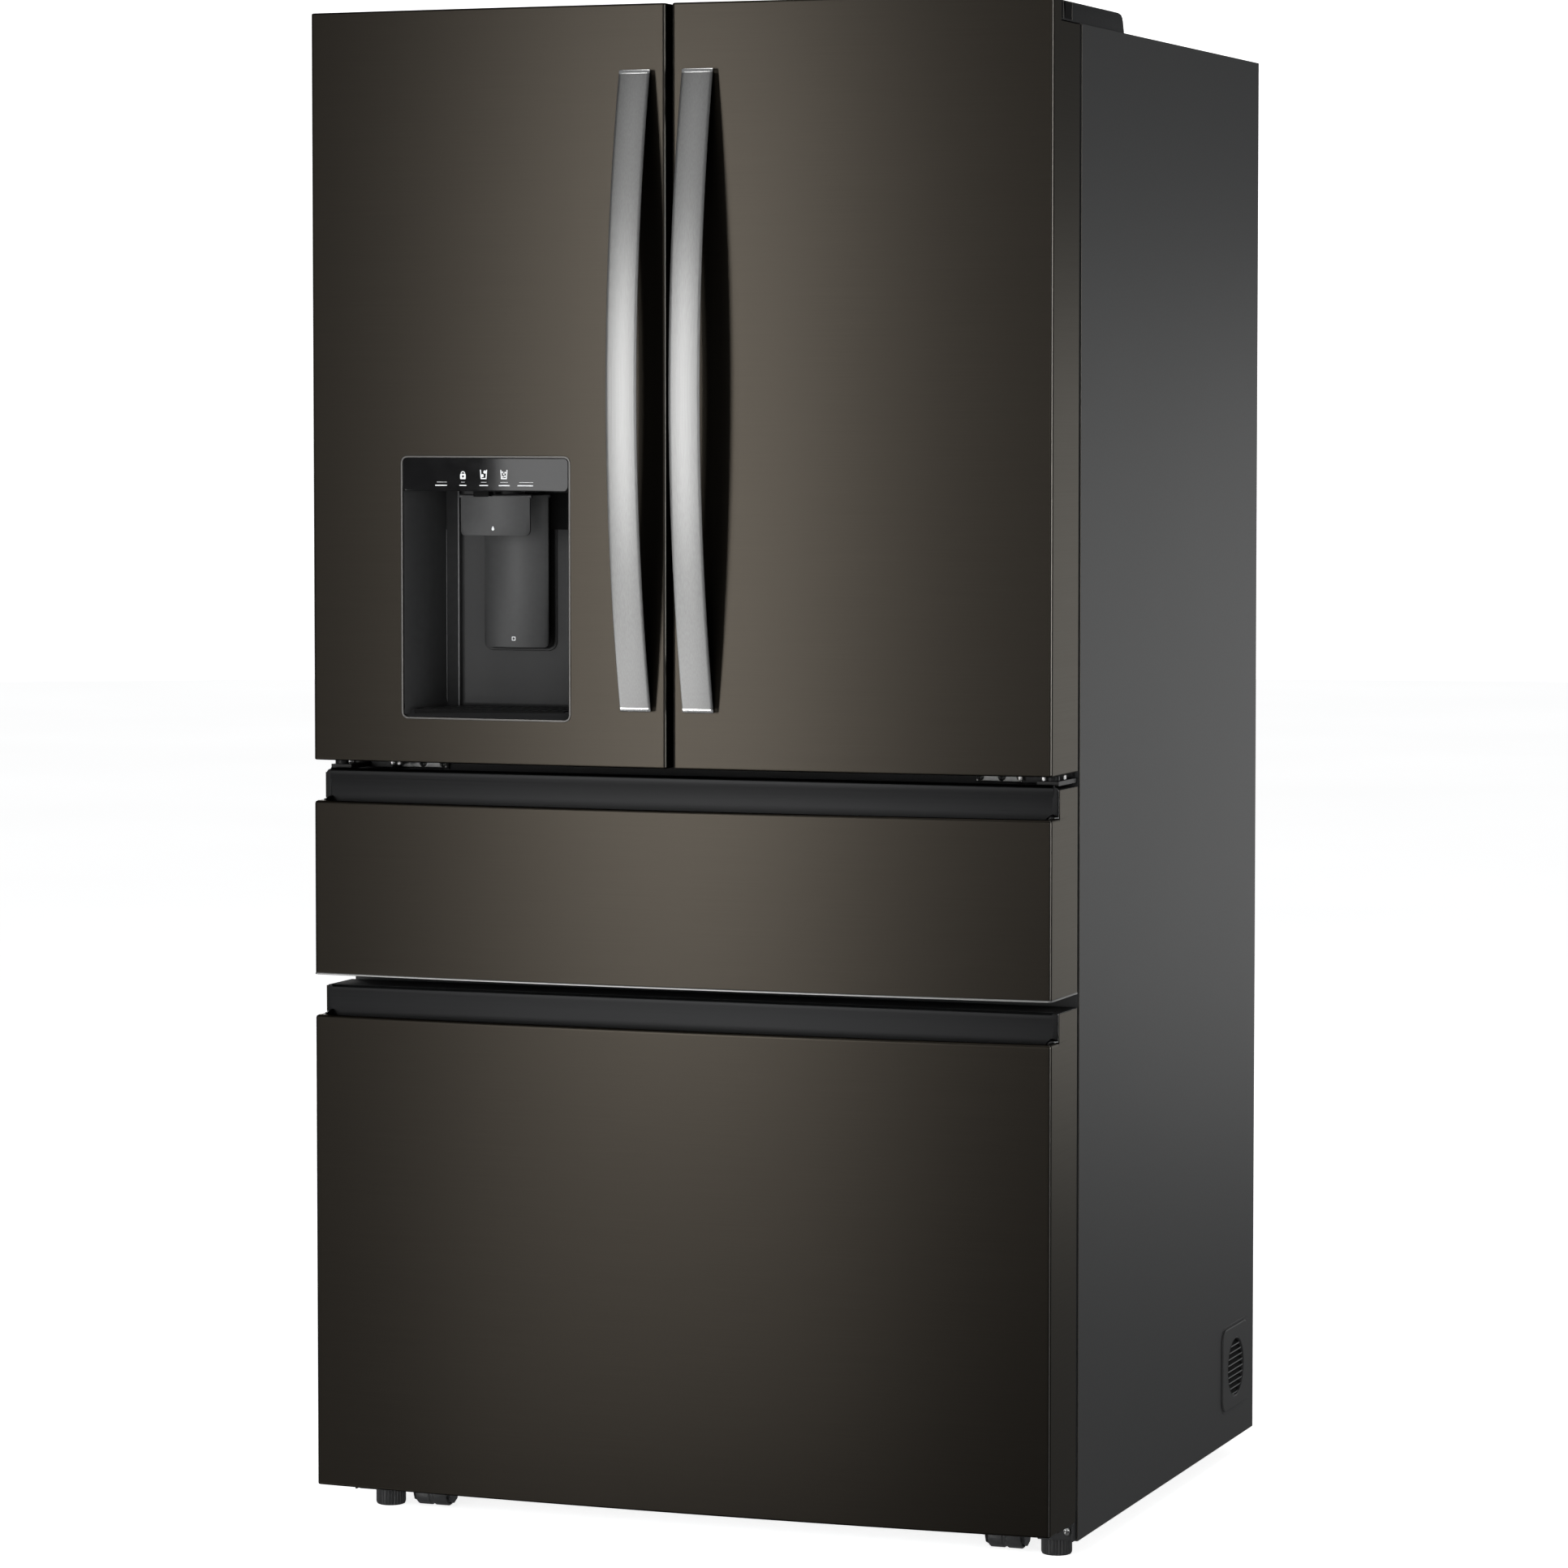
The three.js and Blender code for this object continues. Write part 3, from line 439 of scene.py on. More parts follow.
def lathe(name, profile, axis, centre, material, body, slot, sides=40, sharp=38, flutes=None, hollow=False):
    """A turned piece: profile is (radius, height along the axis) points. A
    hollow one closes its profile on itself."""
    points, faces = [], []
    rows = len(profile)
    for k in range(sides):
        t = 2 * math.pi * k / sides
        for radius, height in profile:
            r = radius * (flutes(k, height) if flutes else 1)
            p = AXES[axis] @ Vector((r * math.cos(t), r * math.sin(t), 0))
            points.append(tuple(p + shifted(axis, height) + Vector(centre)))
    for k in range(sides):
        a, b = k * rows, ((k + 1) % sides) * rows
        for i in range(rows - 1):
            faces.append((a + i, a + i + 1, b + i + 1, b + i))
        if hollow:
            faces.append((a + rows - 1, a, b, b + rows - 1))
    if not hollow:
        faces.append(tuple(k * rows for k in range(sides)))
        faces.append(tuple(k * rows + rows - 1 for k in range(sides)))
    return made(name, points, faces, material, body, slot, sharp)


def soften(node, width, material, slot, body, segments):
    """A copy of a CAD node with its edges rounded, which stands for the node."""
    work = bmesh.new()
    work.from_mesh(frame["nodes"][node].data)
    bmesh.ops.remove_doubles(work, verts=work.verts, dist=2e-6)
    bmesh.ops.dissolve_limit(work, angle_limit=math.radians(2), verts=work.verts, edges=work.edges)
    bmesh.ops.recalc_face_normals(work, faces=work.faces)
    round_edges(work, 32, width, segments)
    mesh = bpy.data.meshes.new(f"{node}_finished")
    work.to_mesh(mesh)
    work.free()
    piece = finished(f"{node}_finished", mesh, material, body, slot, weighted=True)
    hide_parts(node)


def screw(name, centre, axis, s, radius, material, body, slot, cross=True):
    """A pan-head screw; its cross recess is two near-black bars on the head, painted shade. Its head stands
    out along the axis where s is 1, and against it where s is -1."""
    profile = [(0.01, 0.62 * radius * s)]
    for i in range(1, 6):
        t = math.radians(90 * i / 5)
        profile.append((radius * math.sin(t), (0.12 + 0.5 * math.cos(t)) * radius * s))
    profile.append((radius, -0.3 * radius * s))
    lathe(name, profile, axis, centre, material, body, slot, sides=24)
    if cross:
        depth = 0.66 * radius * s
        c = Vector(centre)
        for k in range(2):
            long, short = (0.62 * radius, 0.13 * radius)
            u, v = (long, short) if k else (short, long)
            if axis == "x":
                box = ((c.x, c.x + depth), (c.y - u, c.y + u), (c.z - v, c.z + v))
            elif axis == "y":
                box = ((c.x - u, c.x + u), (c.y, c.y + depth), (c.z - v, c.z + v))
            else:
                box = ((c.x - u, c.x + u), (c.y - v, c.y + v), (c.z, c.z + depth))
            box = [tuple(sorted(side)) for side in box]
            bar(f"{name}_slot{k}", *box, 0.1 * radius, "shadow_black", body, slot, axis, 1)


# ---------------------------------------------------------------- fronts


def front_outline(x0, x1, inset=0.0, radius=3.5, turn=8, crown=30, extra=(), back=113.0):
    """The plan of a front: up the left side, round the crown, down the right
    side. Every inset gives the same count of points."""
    a, b = x0 + inset, x1 - inset
    r = max(0.6, radius - 0.5 * inset)
    sides = [back, 80, 46, 45, 43, 30]
    left_y = front_y(a + r) + inset
    right_y = front_y(b - r) + inset
    points = [(a, max(y, left_y + r + 0.5)) for y in sides]
    points += arc(a + r, left_y + r, r, 180, 270, turn)
    steps = {x0 + radius + (x1 - x0 - 2 * radius) * k / crown for k in range(1, crown)}
    xs = sorted(steps | set(extra) | {x0 + radius + 0.6, x1 - radius - 0.6})
    points += [(x, front_y(x) + inset) for x in xs]
    points += arc(b - r, right_y + r, r, 270, 360, turn)
    points += [(b, max(y, right_y + r + 0.5)) for y in reversed(sides)]
    return points


def front_sheet(name, x, rows, body, drop, extra=(), crown=30, lip_from=None):
    """A sheet steel front. Rows are (height, inset) pairs. drop says which
    faces are left out, and points at or behind lip_from keep no inset."""
    grid = []
    for z, inset in rows:
        outline = front_outline(*x, inset=inset, extra=extra, crown=crown)
        if lip_from is not None and inset:
            plain = front_outline(*x, inset=0, extra=extra, crown=crown)
            outline = [p if p[1] >= lip_from - 0.1 else q for p, q in zip(plain, outline)]
        grid.append([(px, py, z) for px, py in outline])
    count = len(grid[0])
    points = [p for row in grid for p in row]
    faces, kinds = [], []
    for r in range(len(rows) - 1):
        for i in range(count - 1):
            corners = (r * count + i, r * count + i + 1, (r + 1) * count + i + 1, (r + 1) * count + i)
            middle = [sum(points[c][k] for c in corners) / 4 for k in range(3)]
            if drop(*middle):
                continue
            faces.append(corners)
            edge = count - 2 - i if middle[0] > (x[0] + x[1]) / 2 else i
            # On each side corner's rounding: two faces of a lighter steel with a near-black face either side,
            # a painted highlight between dark lines of painted reflection.
            if 2 < r < len(rows) - 4 and 8 <= edge <= 11:
                kinds.append(2 if 9 <= edge <= 10 else 3)
            else:
                kinds.append(1 if middle[1] > CROWN + 6 else 0)
    finishes = ["black_stainless", "side_stainless", "edge_steel", "shadow_black"]
    piece = made(name, points, faces, finishes, body, "black_stainless", 50, kinds=kinds)
    middle = at((x[0] + x[1]) / 2, 60, (rows[0][0] + rows[-1][0]) / 2)
    with editing(piece.data) as work:
        outward = sum((f.calc_center_median() - middle).dot(f.normal) * f.calc_area() for f in work.faces)
        if outward < 0:
            bmesh.ops.reverse_faces(work, faces=work.faces)
        loose = [v for v in work.verts if not v.link_faces]
        bmesh.ops.delete(work, geom=loose, context="VERTS")
    apply_modifier(piece, "SOLIDIFY", thickness=SHEET / 1000, offset=-1.0, use_even_offset=False)
    return weigh_normals(piece, 50)


def edge_rows(z0, z1, levels):
    """Rows up a front whose top and bottom edges are rounded and turned in."""
    flange = 14.0
    return (
        [(z0, flange), (z0, 1.5), (z0 + 0.5, 0.45), (z0 + 1.6, 0.0), (z0 + 2.4, 0.0)]
        + [(z, 0.0) for z in levels]
        + [(z1 - 2.4, 0.0), (z1 - 1.6, 0.0), (z1 - 0.5, 0.45), (z1, 1.5), (z1, flange)]
    )


def door(side):
    name = "left_door" if side < 0 else "right_door"
    x, _, (z0, z1) = limits(f"{name}_skin")
    (hx0, hx1), _, (hz0, hz1) = limits("dispenser_housing")
    notch_x, notch_y, notch_z = 385, 43, 1751  # the corner left free for the top hinge

    def drop(px, py, pz):
        if abs(px) > notch_x and py > notch_y and pz > notch_z - 0.1:
            return True
        return side < 0 and hx0 < px < hx1 and hz0 < pz < hz1 and py < 20

    levels = sorted([1000, 1100, hz0, hz1, 1340, 1500, 1640, notch_z])
    extra = (hx0, hx1) if side < 0 else ()
    skin = front_sheet(f"{name}_front", x, edge_rows(z0, z1, levels), name, drop, extra=extra, crown=24)
    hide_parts(f"{name}_skin")
    a, b = x[0] + 1.8, x[1] - 1.8
    outline = front_outline(a, b, inset=1.8, crown=20, back=112.0)
    hinge = [p for p in outline if not (abs(p[0]) > notch_x and p[1] > notch_y)]
    if side < 0:
        top = [(-notch_x, 112), (-notch_x, notch_y), (a + 1.8, notch_y)] + hinge
    else:
        top = hinge + [(b - 1.8, notch_y), (notch_x, notch_y), (notch_x, 112)]
    slab(f"{name}_top_cap", top, "z", (z1 - 20, z1 - 0.15), 0.8, "dark_trim", name)
    slab(f"{name}_bottom_cap", outline, "z", (z0 + 0.15, z0 + 12), 0.8, "dark_trim", name)
    lathe(
        f"{name}_hinge_bush", [(11, -2), (11, 0.4), (9.5, 1.2), (6.4, 1.2), (6.2, -1)], "z",
        (side * 440, 62, notch_z), "black_plastic", name, "black_plastic",
    )
    soften(f"{name}_core", 2.2, "foamed_liner", "foamed_liner", name, 3)


door(-1)
door(1)


def drawer(name):
    """A drawer's front up to its lip and the strip of sheet beside its pull."""
    x, _, (z0, lip) = limits(f"{name}_skin")
    top = limits(f"{name}_core")[2][1]
    rows = edge_rows(z0, lip, [(z0 + lip) / 2])[:6] + [(lip - 4.2, 0), (lip - 3.2, 0), (lip - 1.8, 0.35)]
    rows += [(lip - 0.7, 1.1), (lip, 2.6), (lip, 5.5), (lip + 2, 5.5), (top - 0.4, 5.5)]

    def drop(px, py, pz):
        return pz > lip - 0.05 and (py < 45.6 and (py > 12 + front_y(px) or pz > lip + 0.05))

    body = f"{name}_drawer"
    skin = front_sheet(f"{name}_front", x, rows, body, drop, crown=48, lip_from=45.5)
    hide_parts(f"{name}_skin")
    soften(f"{name}_core", 2.0, "foamed_liner", "foamed_liner", body, 3)
    pull(name, lip, top, body)


def pull(name, lip, core_top, body):
    """The recessed pull: a finger trough behind the lip and a tall, slightly
    hollow rear wall, with round closed ends."""
    trim = ("pull_trim", body, "dark_trim")
    half, wall = 447.0, 1.4
    front, back = 15.6, 46.0
    low, bend = lip - 29.6, 13.0
    upper = name == "pantry"
    top = core_top + (5.0 if upper else 1.0)
    steps = [k / 12 for k in range(13)]
    bows = [1.3 * (2 * t - 1) ** 2 if upper else 1.7 * (1 - t) ** 2 for t in steps]
    rise = [(back - bow, low + bend + t * (top - 7 - low - bend)) for t, bow in zip(steps, bows)]
    outer = (
        [(front, lip - 1.4)]
        + arc(front + bend, low + bend, bend, 180, 270, 8)
        + arc(rise[0][0] - bend, low + bend, bend, 270, 360, 8)
        + rise[1:]
        + arc(rise[-1][0] + 3, top - 4, 3.0, 180, 100, 4)
    )
    inner = (
        arc(rise[-1][0] + 3, top - 4, 3.0 + wall, 100, 180, 4)
        + [(y - wall, z) for y, z in rise[:0:-1]]
        + arc(rise[0][0] - bend, low + bend, bend - wall, 360, 270, 8)
        + arc(front + bend, low + bend, bend - wall, 270, 180, 8)
        + [(front + wall, lip - 1.4)]
    )
    sections = [[(half * (k / 12 - 1), y, z) for y, z in outer + inner] for k in range(25)]
    piece = loft(f"{name}_pull_channel", sections, *trim)
    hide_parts(f"{name}_pull")
    cap = (
        [(front, lip - 1.6)]
        + arc(front + bend, low + bend, bend, 180, 270, 8)
        + arc(back - bend, low + bend, bend, 270, 360, 8)
        + [(back, lip + 2.2)]
        + arc(back - 3, lip + 1.2, 3, 60, 90, 2)
        + arc(front + 12, lip - 0.2, 2, 90, 150, 3)
    )
    for s, side in SIDES:
        ends = mirrored(s, half - 3, half + 0.6)
        slab(f"{name}_pull_end_{side}", cap, "x", ends, 1.0, "pull_trim", body)
        bend = 6.1 if upper else 2.4
        wing = [(half - 1.5, top - 1.1)] + arc(HALF - 1.9 - bend, top - 1.1 - bend, bend, 90, 0, 6)
        wing = [(s * a, b) for a, b in wing + [(HALF - 1.9, lip + 1), (half - 1.5, lip + 1)]]
        depth = (back - wall - bows[-1] / 2 - 0.05, back + 1)
        plate(f"{name}_pull_wing_{side}", [wing], "y", depth, 0.25, *trim, 2)
        near, far = s * (half + 0.4), s * (HALF - 5.0)
        ledge = [(near, 46), (far, 46), (far, 16), (near, 16)]
        plate(
            f"{name}_pull_ledge_{side}", [ledge], "z", (lip - 3, lip - 0.6), 0.3,
            "dark_trim", body, "dark_trim", 1,
        )
    # A near-black cover on the drawer's top behind its pull: painted shade in the gap above the drawer.
    edge = HALF - 2.2
    cover = [(-edge, back + 1), (edge, back + 1), (edge, 112), (-edge, 112)]
    plate(
        f"{name}_top_cover", [cover], "z", (core_top - 1.2, core_top + 0.7), 0.6,
        "shadow_black", body, "dark_trim", 2,
    )


for one in ("pantry", "freezer"):
    drawer(one)

# The bright line along the upper drawer's bottom edge.
x, _, (z0, _) = limits("pantry_skin")
bead = ((0.2, 3.0), (-0.7, 2.2), (-1.1, 0.9), (-0.7, -0.3), (0.6, -0.45), (1.4, 0.1))
line = [
    [(px, py, z0 + rise) for px, py in front_outline(*x, inset=inset, crown=48)] for rise, inset in bead
]
loft("pantry_bottom_line", line, "line_steel", "pantry_drawer", "handle_steel", closed=False, caps=False)


# ---------------------------------------------------------------- handles


def handle(name, body):
    """A flat bar bowed over its whole height, on two posts with set screws."""
    (x0, x1), (y0, _), (z0, z1) = limits(name)
    trim = ("dark_trim", body, "dark_trim")
    centre, half = (x0 + x1) / 2, (x1 - x0) / 2
    bow = 43.0
    chord = (z1 - z0) / 2
    bend = (chord**2 + bow**2) / (2 * bow)
    middle = (z0 + z1) / 2
    thick = 9.0

    def face(z):
        return y0 + bend - math.sqrt(bend**2 - (z - middle) ** 2)

    across = [k / 6 - 1 for k in range(13)]  # the convex front, from left to right
    outline = [(u * (half - 0.7), 0.8 * u**2) for u in across]
    corner = [(half - 0.25, 1.0), (half, 1.5), (half - 0.15, 2.2), (half - 2.6, 7.2), (half - 4.4, 8.7)]
    right = outline + corner
    left = [(-a, b) for a, b in reversed(corner)]
    loop = right + [(half - 8, thick), (0, thick - 0.3), (-half + 8, thick)] + left
    cap = 5.2
    heights = [z0, z0 + 0.35, z0 + 1.1, z0 + cap - 0.5, z0 + cap - 0.25, z0 + cap, z0 + cap + 0.5]
    steps = 44
    a, b = z0 + cap + 3, z1 - cap - 3
    heights += [a + (b - a) * k / steps for k in range(steps + 1)]
    heights += [z1 - (h - z0) for h in reversed(heights[:7])]
    shrink = {0: 1.1, 1: 0.4, 2: 0.0, 3: 0.0, 4: 0.55, 5: 0.0, 6: 0.0}
    last = len(heights) - 1
    sections = []
    for k, z in enumerate(heights):
        inset = shrink.get(k, shrink.get(last - k, 0.0))
        wide, deep = (half - inset) / half, (thick - 2 * inset) / thick
        sections.append([(centre + px * wide, face(z) + inset + py * deep, z) for px, py in loop])

    def kinds(row, _):
        return 1 if row < 4 or row > last - 5 else 0

    piece = loft(
        f"{name}_bar", sections, ["handle_steel", "bright_steel"], body, "handle_steel", kinds=kinds, sharp=30
    )
    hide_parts(name)
    for k, z in enumerate((1022, 1655)):
        deep = face(z) + thick - 1.5
        bar(
            f"{name}_post{k}", (centre - 9, centre + 9), (deep, front_y(centre) - 0.1), (z - 9, z + 9), 2.2,
            *trim, "y", 3,
        )
        plate(
            f"{name}_post_foot{k}", [rounded((centre - 11, centre + 11), (z - 11, z + 11), 4)], "y",
            (front_y(centre) - 1.6, front_y(centre) + 0.2), 0.7, *trim, 2,
        )
        mid = (deep + front_y(centre)) / 2 + 1.5
        head = [(0.01, -0.4), (1.5, -0.4), (1.7, 0.25), (2.7, 0.3), (3.1, 0.0), (3.1, -1.0)]
        lathe(
            f"{name}_set_screw{k}", head, "x", (centre + 9.2, mid, z), "bright_steel", body,
            "handle_steel", sides=24,
        )


handle("left_handle", "left_door")
handle("right_handle", "right_door")


# ---------------------------------------------------------------- dispenser

(DX0, DX1), _, (DZ0, DZ1) = limits("dispenser_housing")
DOOR = "left_door"


def crown_loop(a, b, inset, deep):
    """A rounded rectangle on the crown of the front, deep behind it."""
    points = rounded((a[0] + inset, a[1] - inset), (b[0] + inset, b[1] - inset), max(0.8, 7.6 - inset))
    return [(px, front_y(px) + deep, pz) for px, pz in points]


def refined(loop):
    """More points along the long sides, so that the loop follows the crown."""
    size = 12.0
    out = []
    deep = loop[0][1] - front_y(loop[0][0])
    for k, p in enumerate(loop):
        q = loop[(k + 1) % len(loop)]
        count = max(1, int(math.dist(p, q) / size))
        for i in range(count):
            x, z = [p[n] + (q[n] - p[n]) * i / count for n in (0, 2)]
            out.append((x, front_y(x) + deep, z))
    return out


bezel_rows = [(-0.6, 0.4), (-0.9, -0.2), (-0.5, -0.75), (0.4, -0.9)]
bezel_rows += [(1.4, -0.75), (2.0, -0.1), (2.3, 3.0), (2.3, 15.0)]
bezel = loft(
    "dispenser_rim",
    [refined(crown_loop((DX0, DX1), (DZ0, DZ1), inset, deep)) for inset, deep in bezel_rows],
    "rim_steel", DOOR, "black_plastic", caps=False,
)
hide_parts("dispenser_housing")

CAVITY_TOP = 1222.6
CAVITY_FLOOR = 968.0
BACK = 100.0
cx0, cx1 = DX0 + 2.6, DX1 - 2.6
PLASTIC = ("black_plastic", DOOR, "black_plastic")
SHADOW = ("shadow_black", DOOR, "black_plastic")


def cavity_section(z, grow=0.0):
    """The cavity's plan at a height: the left wall slopes back to an upright
    rib, and round fillets lead to the rear wall. grow rounds the floor."""
    left_front, right_front = front_y(cx0) + 1, front_y(cx1) + 1
    points = [(cx0 + grow * 0.3, left_front, z)]
    points += [(cx0 + 12 + grow * 0.3, 40, z), (cx0 + 22.4 + grow * 0.4, 80, z)]
    points += [(cx0 + 22.0 + grow * 0.4, 81.6, z), (cx0 + 22.6 + grow * 0.4, 82.6, z)]
    points += [(cx0 + 31.0, 95.2, z), (cx0 + 31.2, 94.2, z), (cx0 + 32.4, 93.6, z), (cx0 + 33.6, 94.2, z)]
    points += [(p, q, z) for p, q in arc(cx0 + 38, BACK - 4 - grow * 0.4, 4, 170, 90, 5)]
    points += [(cx0 + 80, BACK - grow * 0.4, z), (cx1 - 70, BACK - grow * 0.4, z)]
    points += [(p, q, z) for p, q in arc(cx1 - 34, BACK - 10 - grow * 0.4, 10, 90, 15, 6)]
    points += [(cx1 - 14 - grow * 0.3, 50, z), (cx1 - grow * 0.3, right_front, z)]
    return points


heights = ((-8, 0), (-2, 0), (0, 0), (1.2, 1.5), (5, 2.2), (9, 0))
heights = [(CAVITY_FLOOR + rise, lift) for rise, lift in heights]
heights += [(1060, 0), (1140, 0), (1200, 0), (CAVITY_TOP + 2, 0)]
# The left wall's first five columns take a lighter copy of the plastic: painted light.
loft(
    "dispenser_cavity", [cavity_section(z, lift) for z, lift in heights],
    ["cavity_plastic", "cavity_side"], DOOR, "black_plastic", closed=False, caps=False, sharp=42,
    kinds=lambda row, i: 1 if i < 5 else 0,
)
ceiling = [(px, py) for px, py, _ in cavity_section(CAVITY_TOP)]
# Two thin lighter beads up the left wall's rib and fillet: painted highlights.
for k, (px, py, r, drop) in enumerate(((cx0 + 22.2, 81.4, 0.7, 46), (cx0 + 32.6, 93.4, 1.1, 0))):
    low, top = CAVITY_FLOOR + 1, CAVITY_TOP - drop
    column = [(0.01, low), (r * 0.7, low), (r, low + r), (r, top - r), (0.6 * r, top), (0.01, top)]
    lathe(f"cavity_bead_{k}", column, "z", (px, py, 0), "edge_plastic", DOOR, "black_plastic", sides=20)
# The ceiling is near-black, darker than the cavity's walls: painted shade.
plate("dispenser_ceiling", [ceiling], "z", (CAVITY_TOP + 0.2, CAVITY_TOP + 3.2), 0.4, *SHADOW, 1)
floor_plan = [(px, py) for px, py, _ in cavity_section(CAVITY_FLOOR)]
tray_hole = rounded((DX0 + 13, DX1 - 13), (14.4, 93.6), 5)
floor_plan = [(cx0 + 4, front_y(cx0) + 15)] + floor_plan[1:-1] + [(cx1 - 4, front_y(cx1) + 15)]
plate("dispenser_floor", [floor_plan, tray_hole], "z", (CAVITY_FLOOR - 2.5, CAVITY_FLOOR), 0.5, *PLASTIC, 1)
# The floor falls to the rim in front of the tray.
across = [cx0 + (cx1 - cx0) * k / 16 for k in range(17)]
ledge_rows = ((1.2, -8.2), (2.2, -7.4), (4.0, -6.8), (12.0, -1.8), (14.0, -0.6), (16.5, -0.1))
ledge = [[(px, front_y(px) + dy, CAVITY_FLOOR + dz) for px in across] for dy, dz in ledge_rows]
loft("dispenser_ledge", ledge, *PLASTIC, closed=False, caps=False)

# A pocket behind the ice paddle, deeper than the rear wall.
pocket_x = (-268, -183)
pocket_frame = [rounded((-272, -179.5), (1034.5, 1219.5), 11, 5), rounded(pocket_x, (1038, 1218), 9, 5)]
plate(
    "ice_pocket", pocket_frame, "y", (BACK - 1.2, BACK + 1.6), 1.1,
    "cavity_plastic", DOOR, "black_plastic", 3,
)
# The pocket's floor is a near-black sheet: painted shade in the pocket.
pocket = rounded(pocket_x, (1038, 1214), 9, 5)
plate("ice_pocket_floor", [pocket], "y", (BACK - 0.6, BACK + 0.2), 0.2, *SHADOW, 1)
# A near-black sheet over the rear wall's upper right, under the chute: painted shade.
alcove = rounded((-266, DX1 - 26.5), (1177, 1219.6), 3, 3)
plate("ice_alcove", [alcove], "y", (BACK - 1.9, BACK + 0.6), 0.9, *SHADOW, 2)

# Steel in the corners of the opening, round the rim.
for k, (sx, sz) in enumerate(((1, 1), (-1, 1), (-1, -1), (1, -1))):
    px, pz = (DX0 if sx > 0 else DX1), (DZ0 if sz > 0 else DZ1)
    turns = [math.radians(90 * t / 8) for t in range(9)]
    corner = [(px - sx * 0.3, pz - sz * 0.3)]
    corner += [(px + sx * 7.2 * (1 - math.sin(a)), pz + sz * 7.2 * (1 - math.cos(a))) for a in turns]
    skins = [[(a, front_y(a) + deep, b) for a, b in corner] for deep in (0.02, 1.1)]
    loft(f"opening_corner_{k}", skins, "black_stainless", DOOR, "black_stainless", sharp=30)

# The glossy control strip.
strip_rows = [(1.6, 6.0), (1.6, 0.5), (1.9, -0.05), (2.6, -0.3)]
strip = loft(
    "dispenser_controls",
    [refined(crown_loop((DX0, DX1), (CAVITY_TOP - 1.0, DZ1), inset, deep)) for inset, deep in strip_rows],
    "gloss_black", DOOR, "gloss_black", caps=False,
)
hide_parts("dispenser_panel")
STRIP_R = 5.0
strip_face = []
ends = [STRIP_R * (1 - math.cos(math.radians(9 * k))) for k in range(11)]
span = DX1 - DX0 - 5.2
middle = [STRIP_R + (span - 2 * STRIP_R) * k / 20 for k in range(1, 20)]
for d in ends + middle + [span - e for e in ends[::-1]]:
    px = DX0 + 2.6 + d
    near = min(d, span - d)
    edge = STRIP_R - math.sqrt(max(0.0, STRIP_R**2 - (STRIP_R - near) ** 2)) if near < STRIP_R else 0.0
    column = [(px, front_y(px) - 0.3, z) for z in (CAVITY_TOP + 1.6 + edge, 1240, DZ1 - 2.6 - edge)]
    strip_face.append(column)
loft("dispenser_glass", strip_face, "gloss_black", DOOR, "gloss_black", closed=False, caps=False)


def mark(name, loops, x, z, size, rotate=0.0, y=None, body=DOOR):
    """A small printed pictogram that glows a little: painted light. It lies on the crown, or at a given
    depth.
    """
    c, s = size * math.cos(rotate), size * math.sin(rotate)
    placed = [[(x + a * c - b * s, z + a * s + b * c) for a, b in loop] for loop in loops]
    depth = (front_y(x) - 0.5, front_y(x) - 0.15) if y is None else (y - 0.12, y + 0.25)
    plate(name, placed, "y", depth, 0.05, "mark_white", body, "gloss_black", 1)


GLASS = [(-0.42, 0.5), (-0.34, -0.5), (0.34, -0.5), (0.42, 0.5)]
GLASS += [(0.30, 0.5), (0.23, -0.38), (-0.23, -0.38), (-0.30, 0.5)]
LOCK = [rounded((-0.34, 0.34), (-0.5, 0.1), 0.1, 3), circle(0, -0.19, 0.13, 12)]
SHACKLE = arc(0, 0.12, 0.27, 0, 180, 10) + arc(0, 0.12, 0.18, 180, 0, 10)
CUBE = [rounded((-0.17, 0.17), (-0.17, 0.17), 0.05, 2)]
icon_z, line_z, dash_z = 1242.0, 1233.4, 1229.6
lock_x, cubes_x, crushed_x = -258.0, -231.6, -205.7
mark("icon_lock_body", LOCK, lock_x, icon_z, 10.4)
mark("icon_lock_shackle", [SHACKLE], lock_x, icon_z, 10.4)
mark("icon_cubes_glass", [GLASS], cubes_x, icon_z + 0.4, 10.8)
mark("icon_cubes_a", CUBE, cubes_x - 1.6, icon_z - 1.0, 9.4, 0.3)
mark("icon_cubes_b", CUBE, cubes_x + 1.6, icon_z + 3.2, 9.4, 0.9)
mark("icon_crushed_glass", [GLASS], crushed_x, icon_z + 0.4, 10.8)
for k, (dx, dz) in enumerate(((-1.4, -2.2), (1.2, -1.6), (-0.2, 0.8), (1.6, 2.6), (-1.7, 3.0))):
    mark(f"icon_crushed_{k}", CUBE, crushed_x + dx, icon_z + dz, 5.4, 0.7 * k)
for k, (px, width) in enumerate(((-284, 19), (-258, 9), (-231.4, 11), (-205.4, 14), (-177.5, 22))):
    dash = [rounded((-width / 2, width / 2), (-0.6, 0.6), 0.5, 2)]
    mark(f"icon_dash_{k}", dash, px, dash_z, 1.0)
    thin = [rounded((-width / 2 + 2, width / 2 - 2), (-0.22, 0.22), 0.2, 1)]
    mark(f"icon_line_{k}", thin, px, line_z, 1.0)

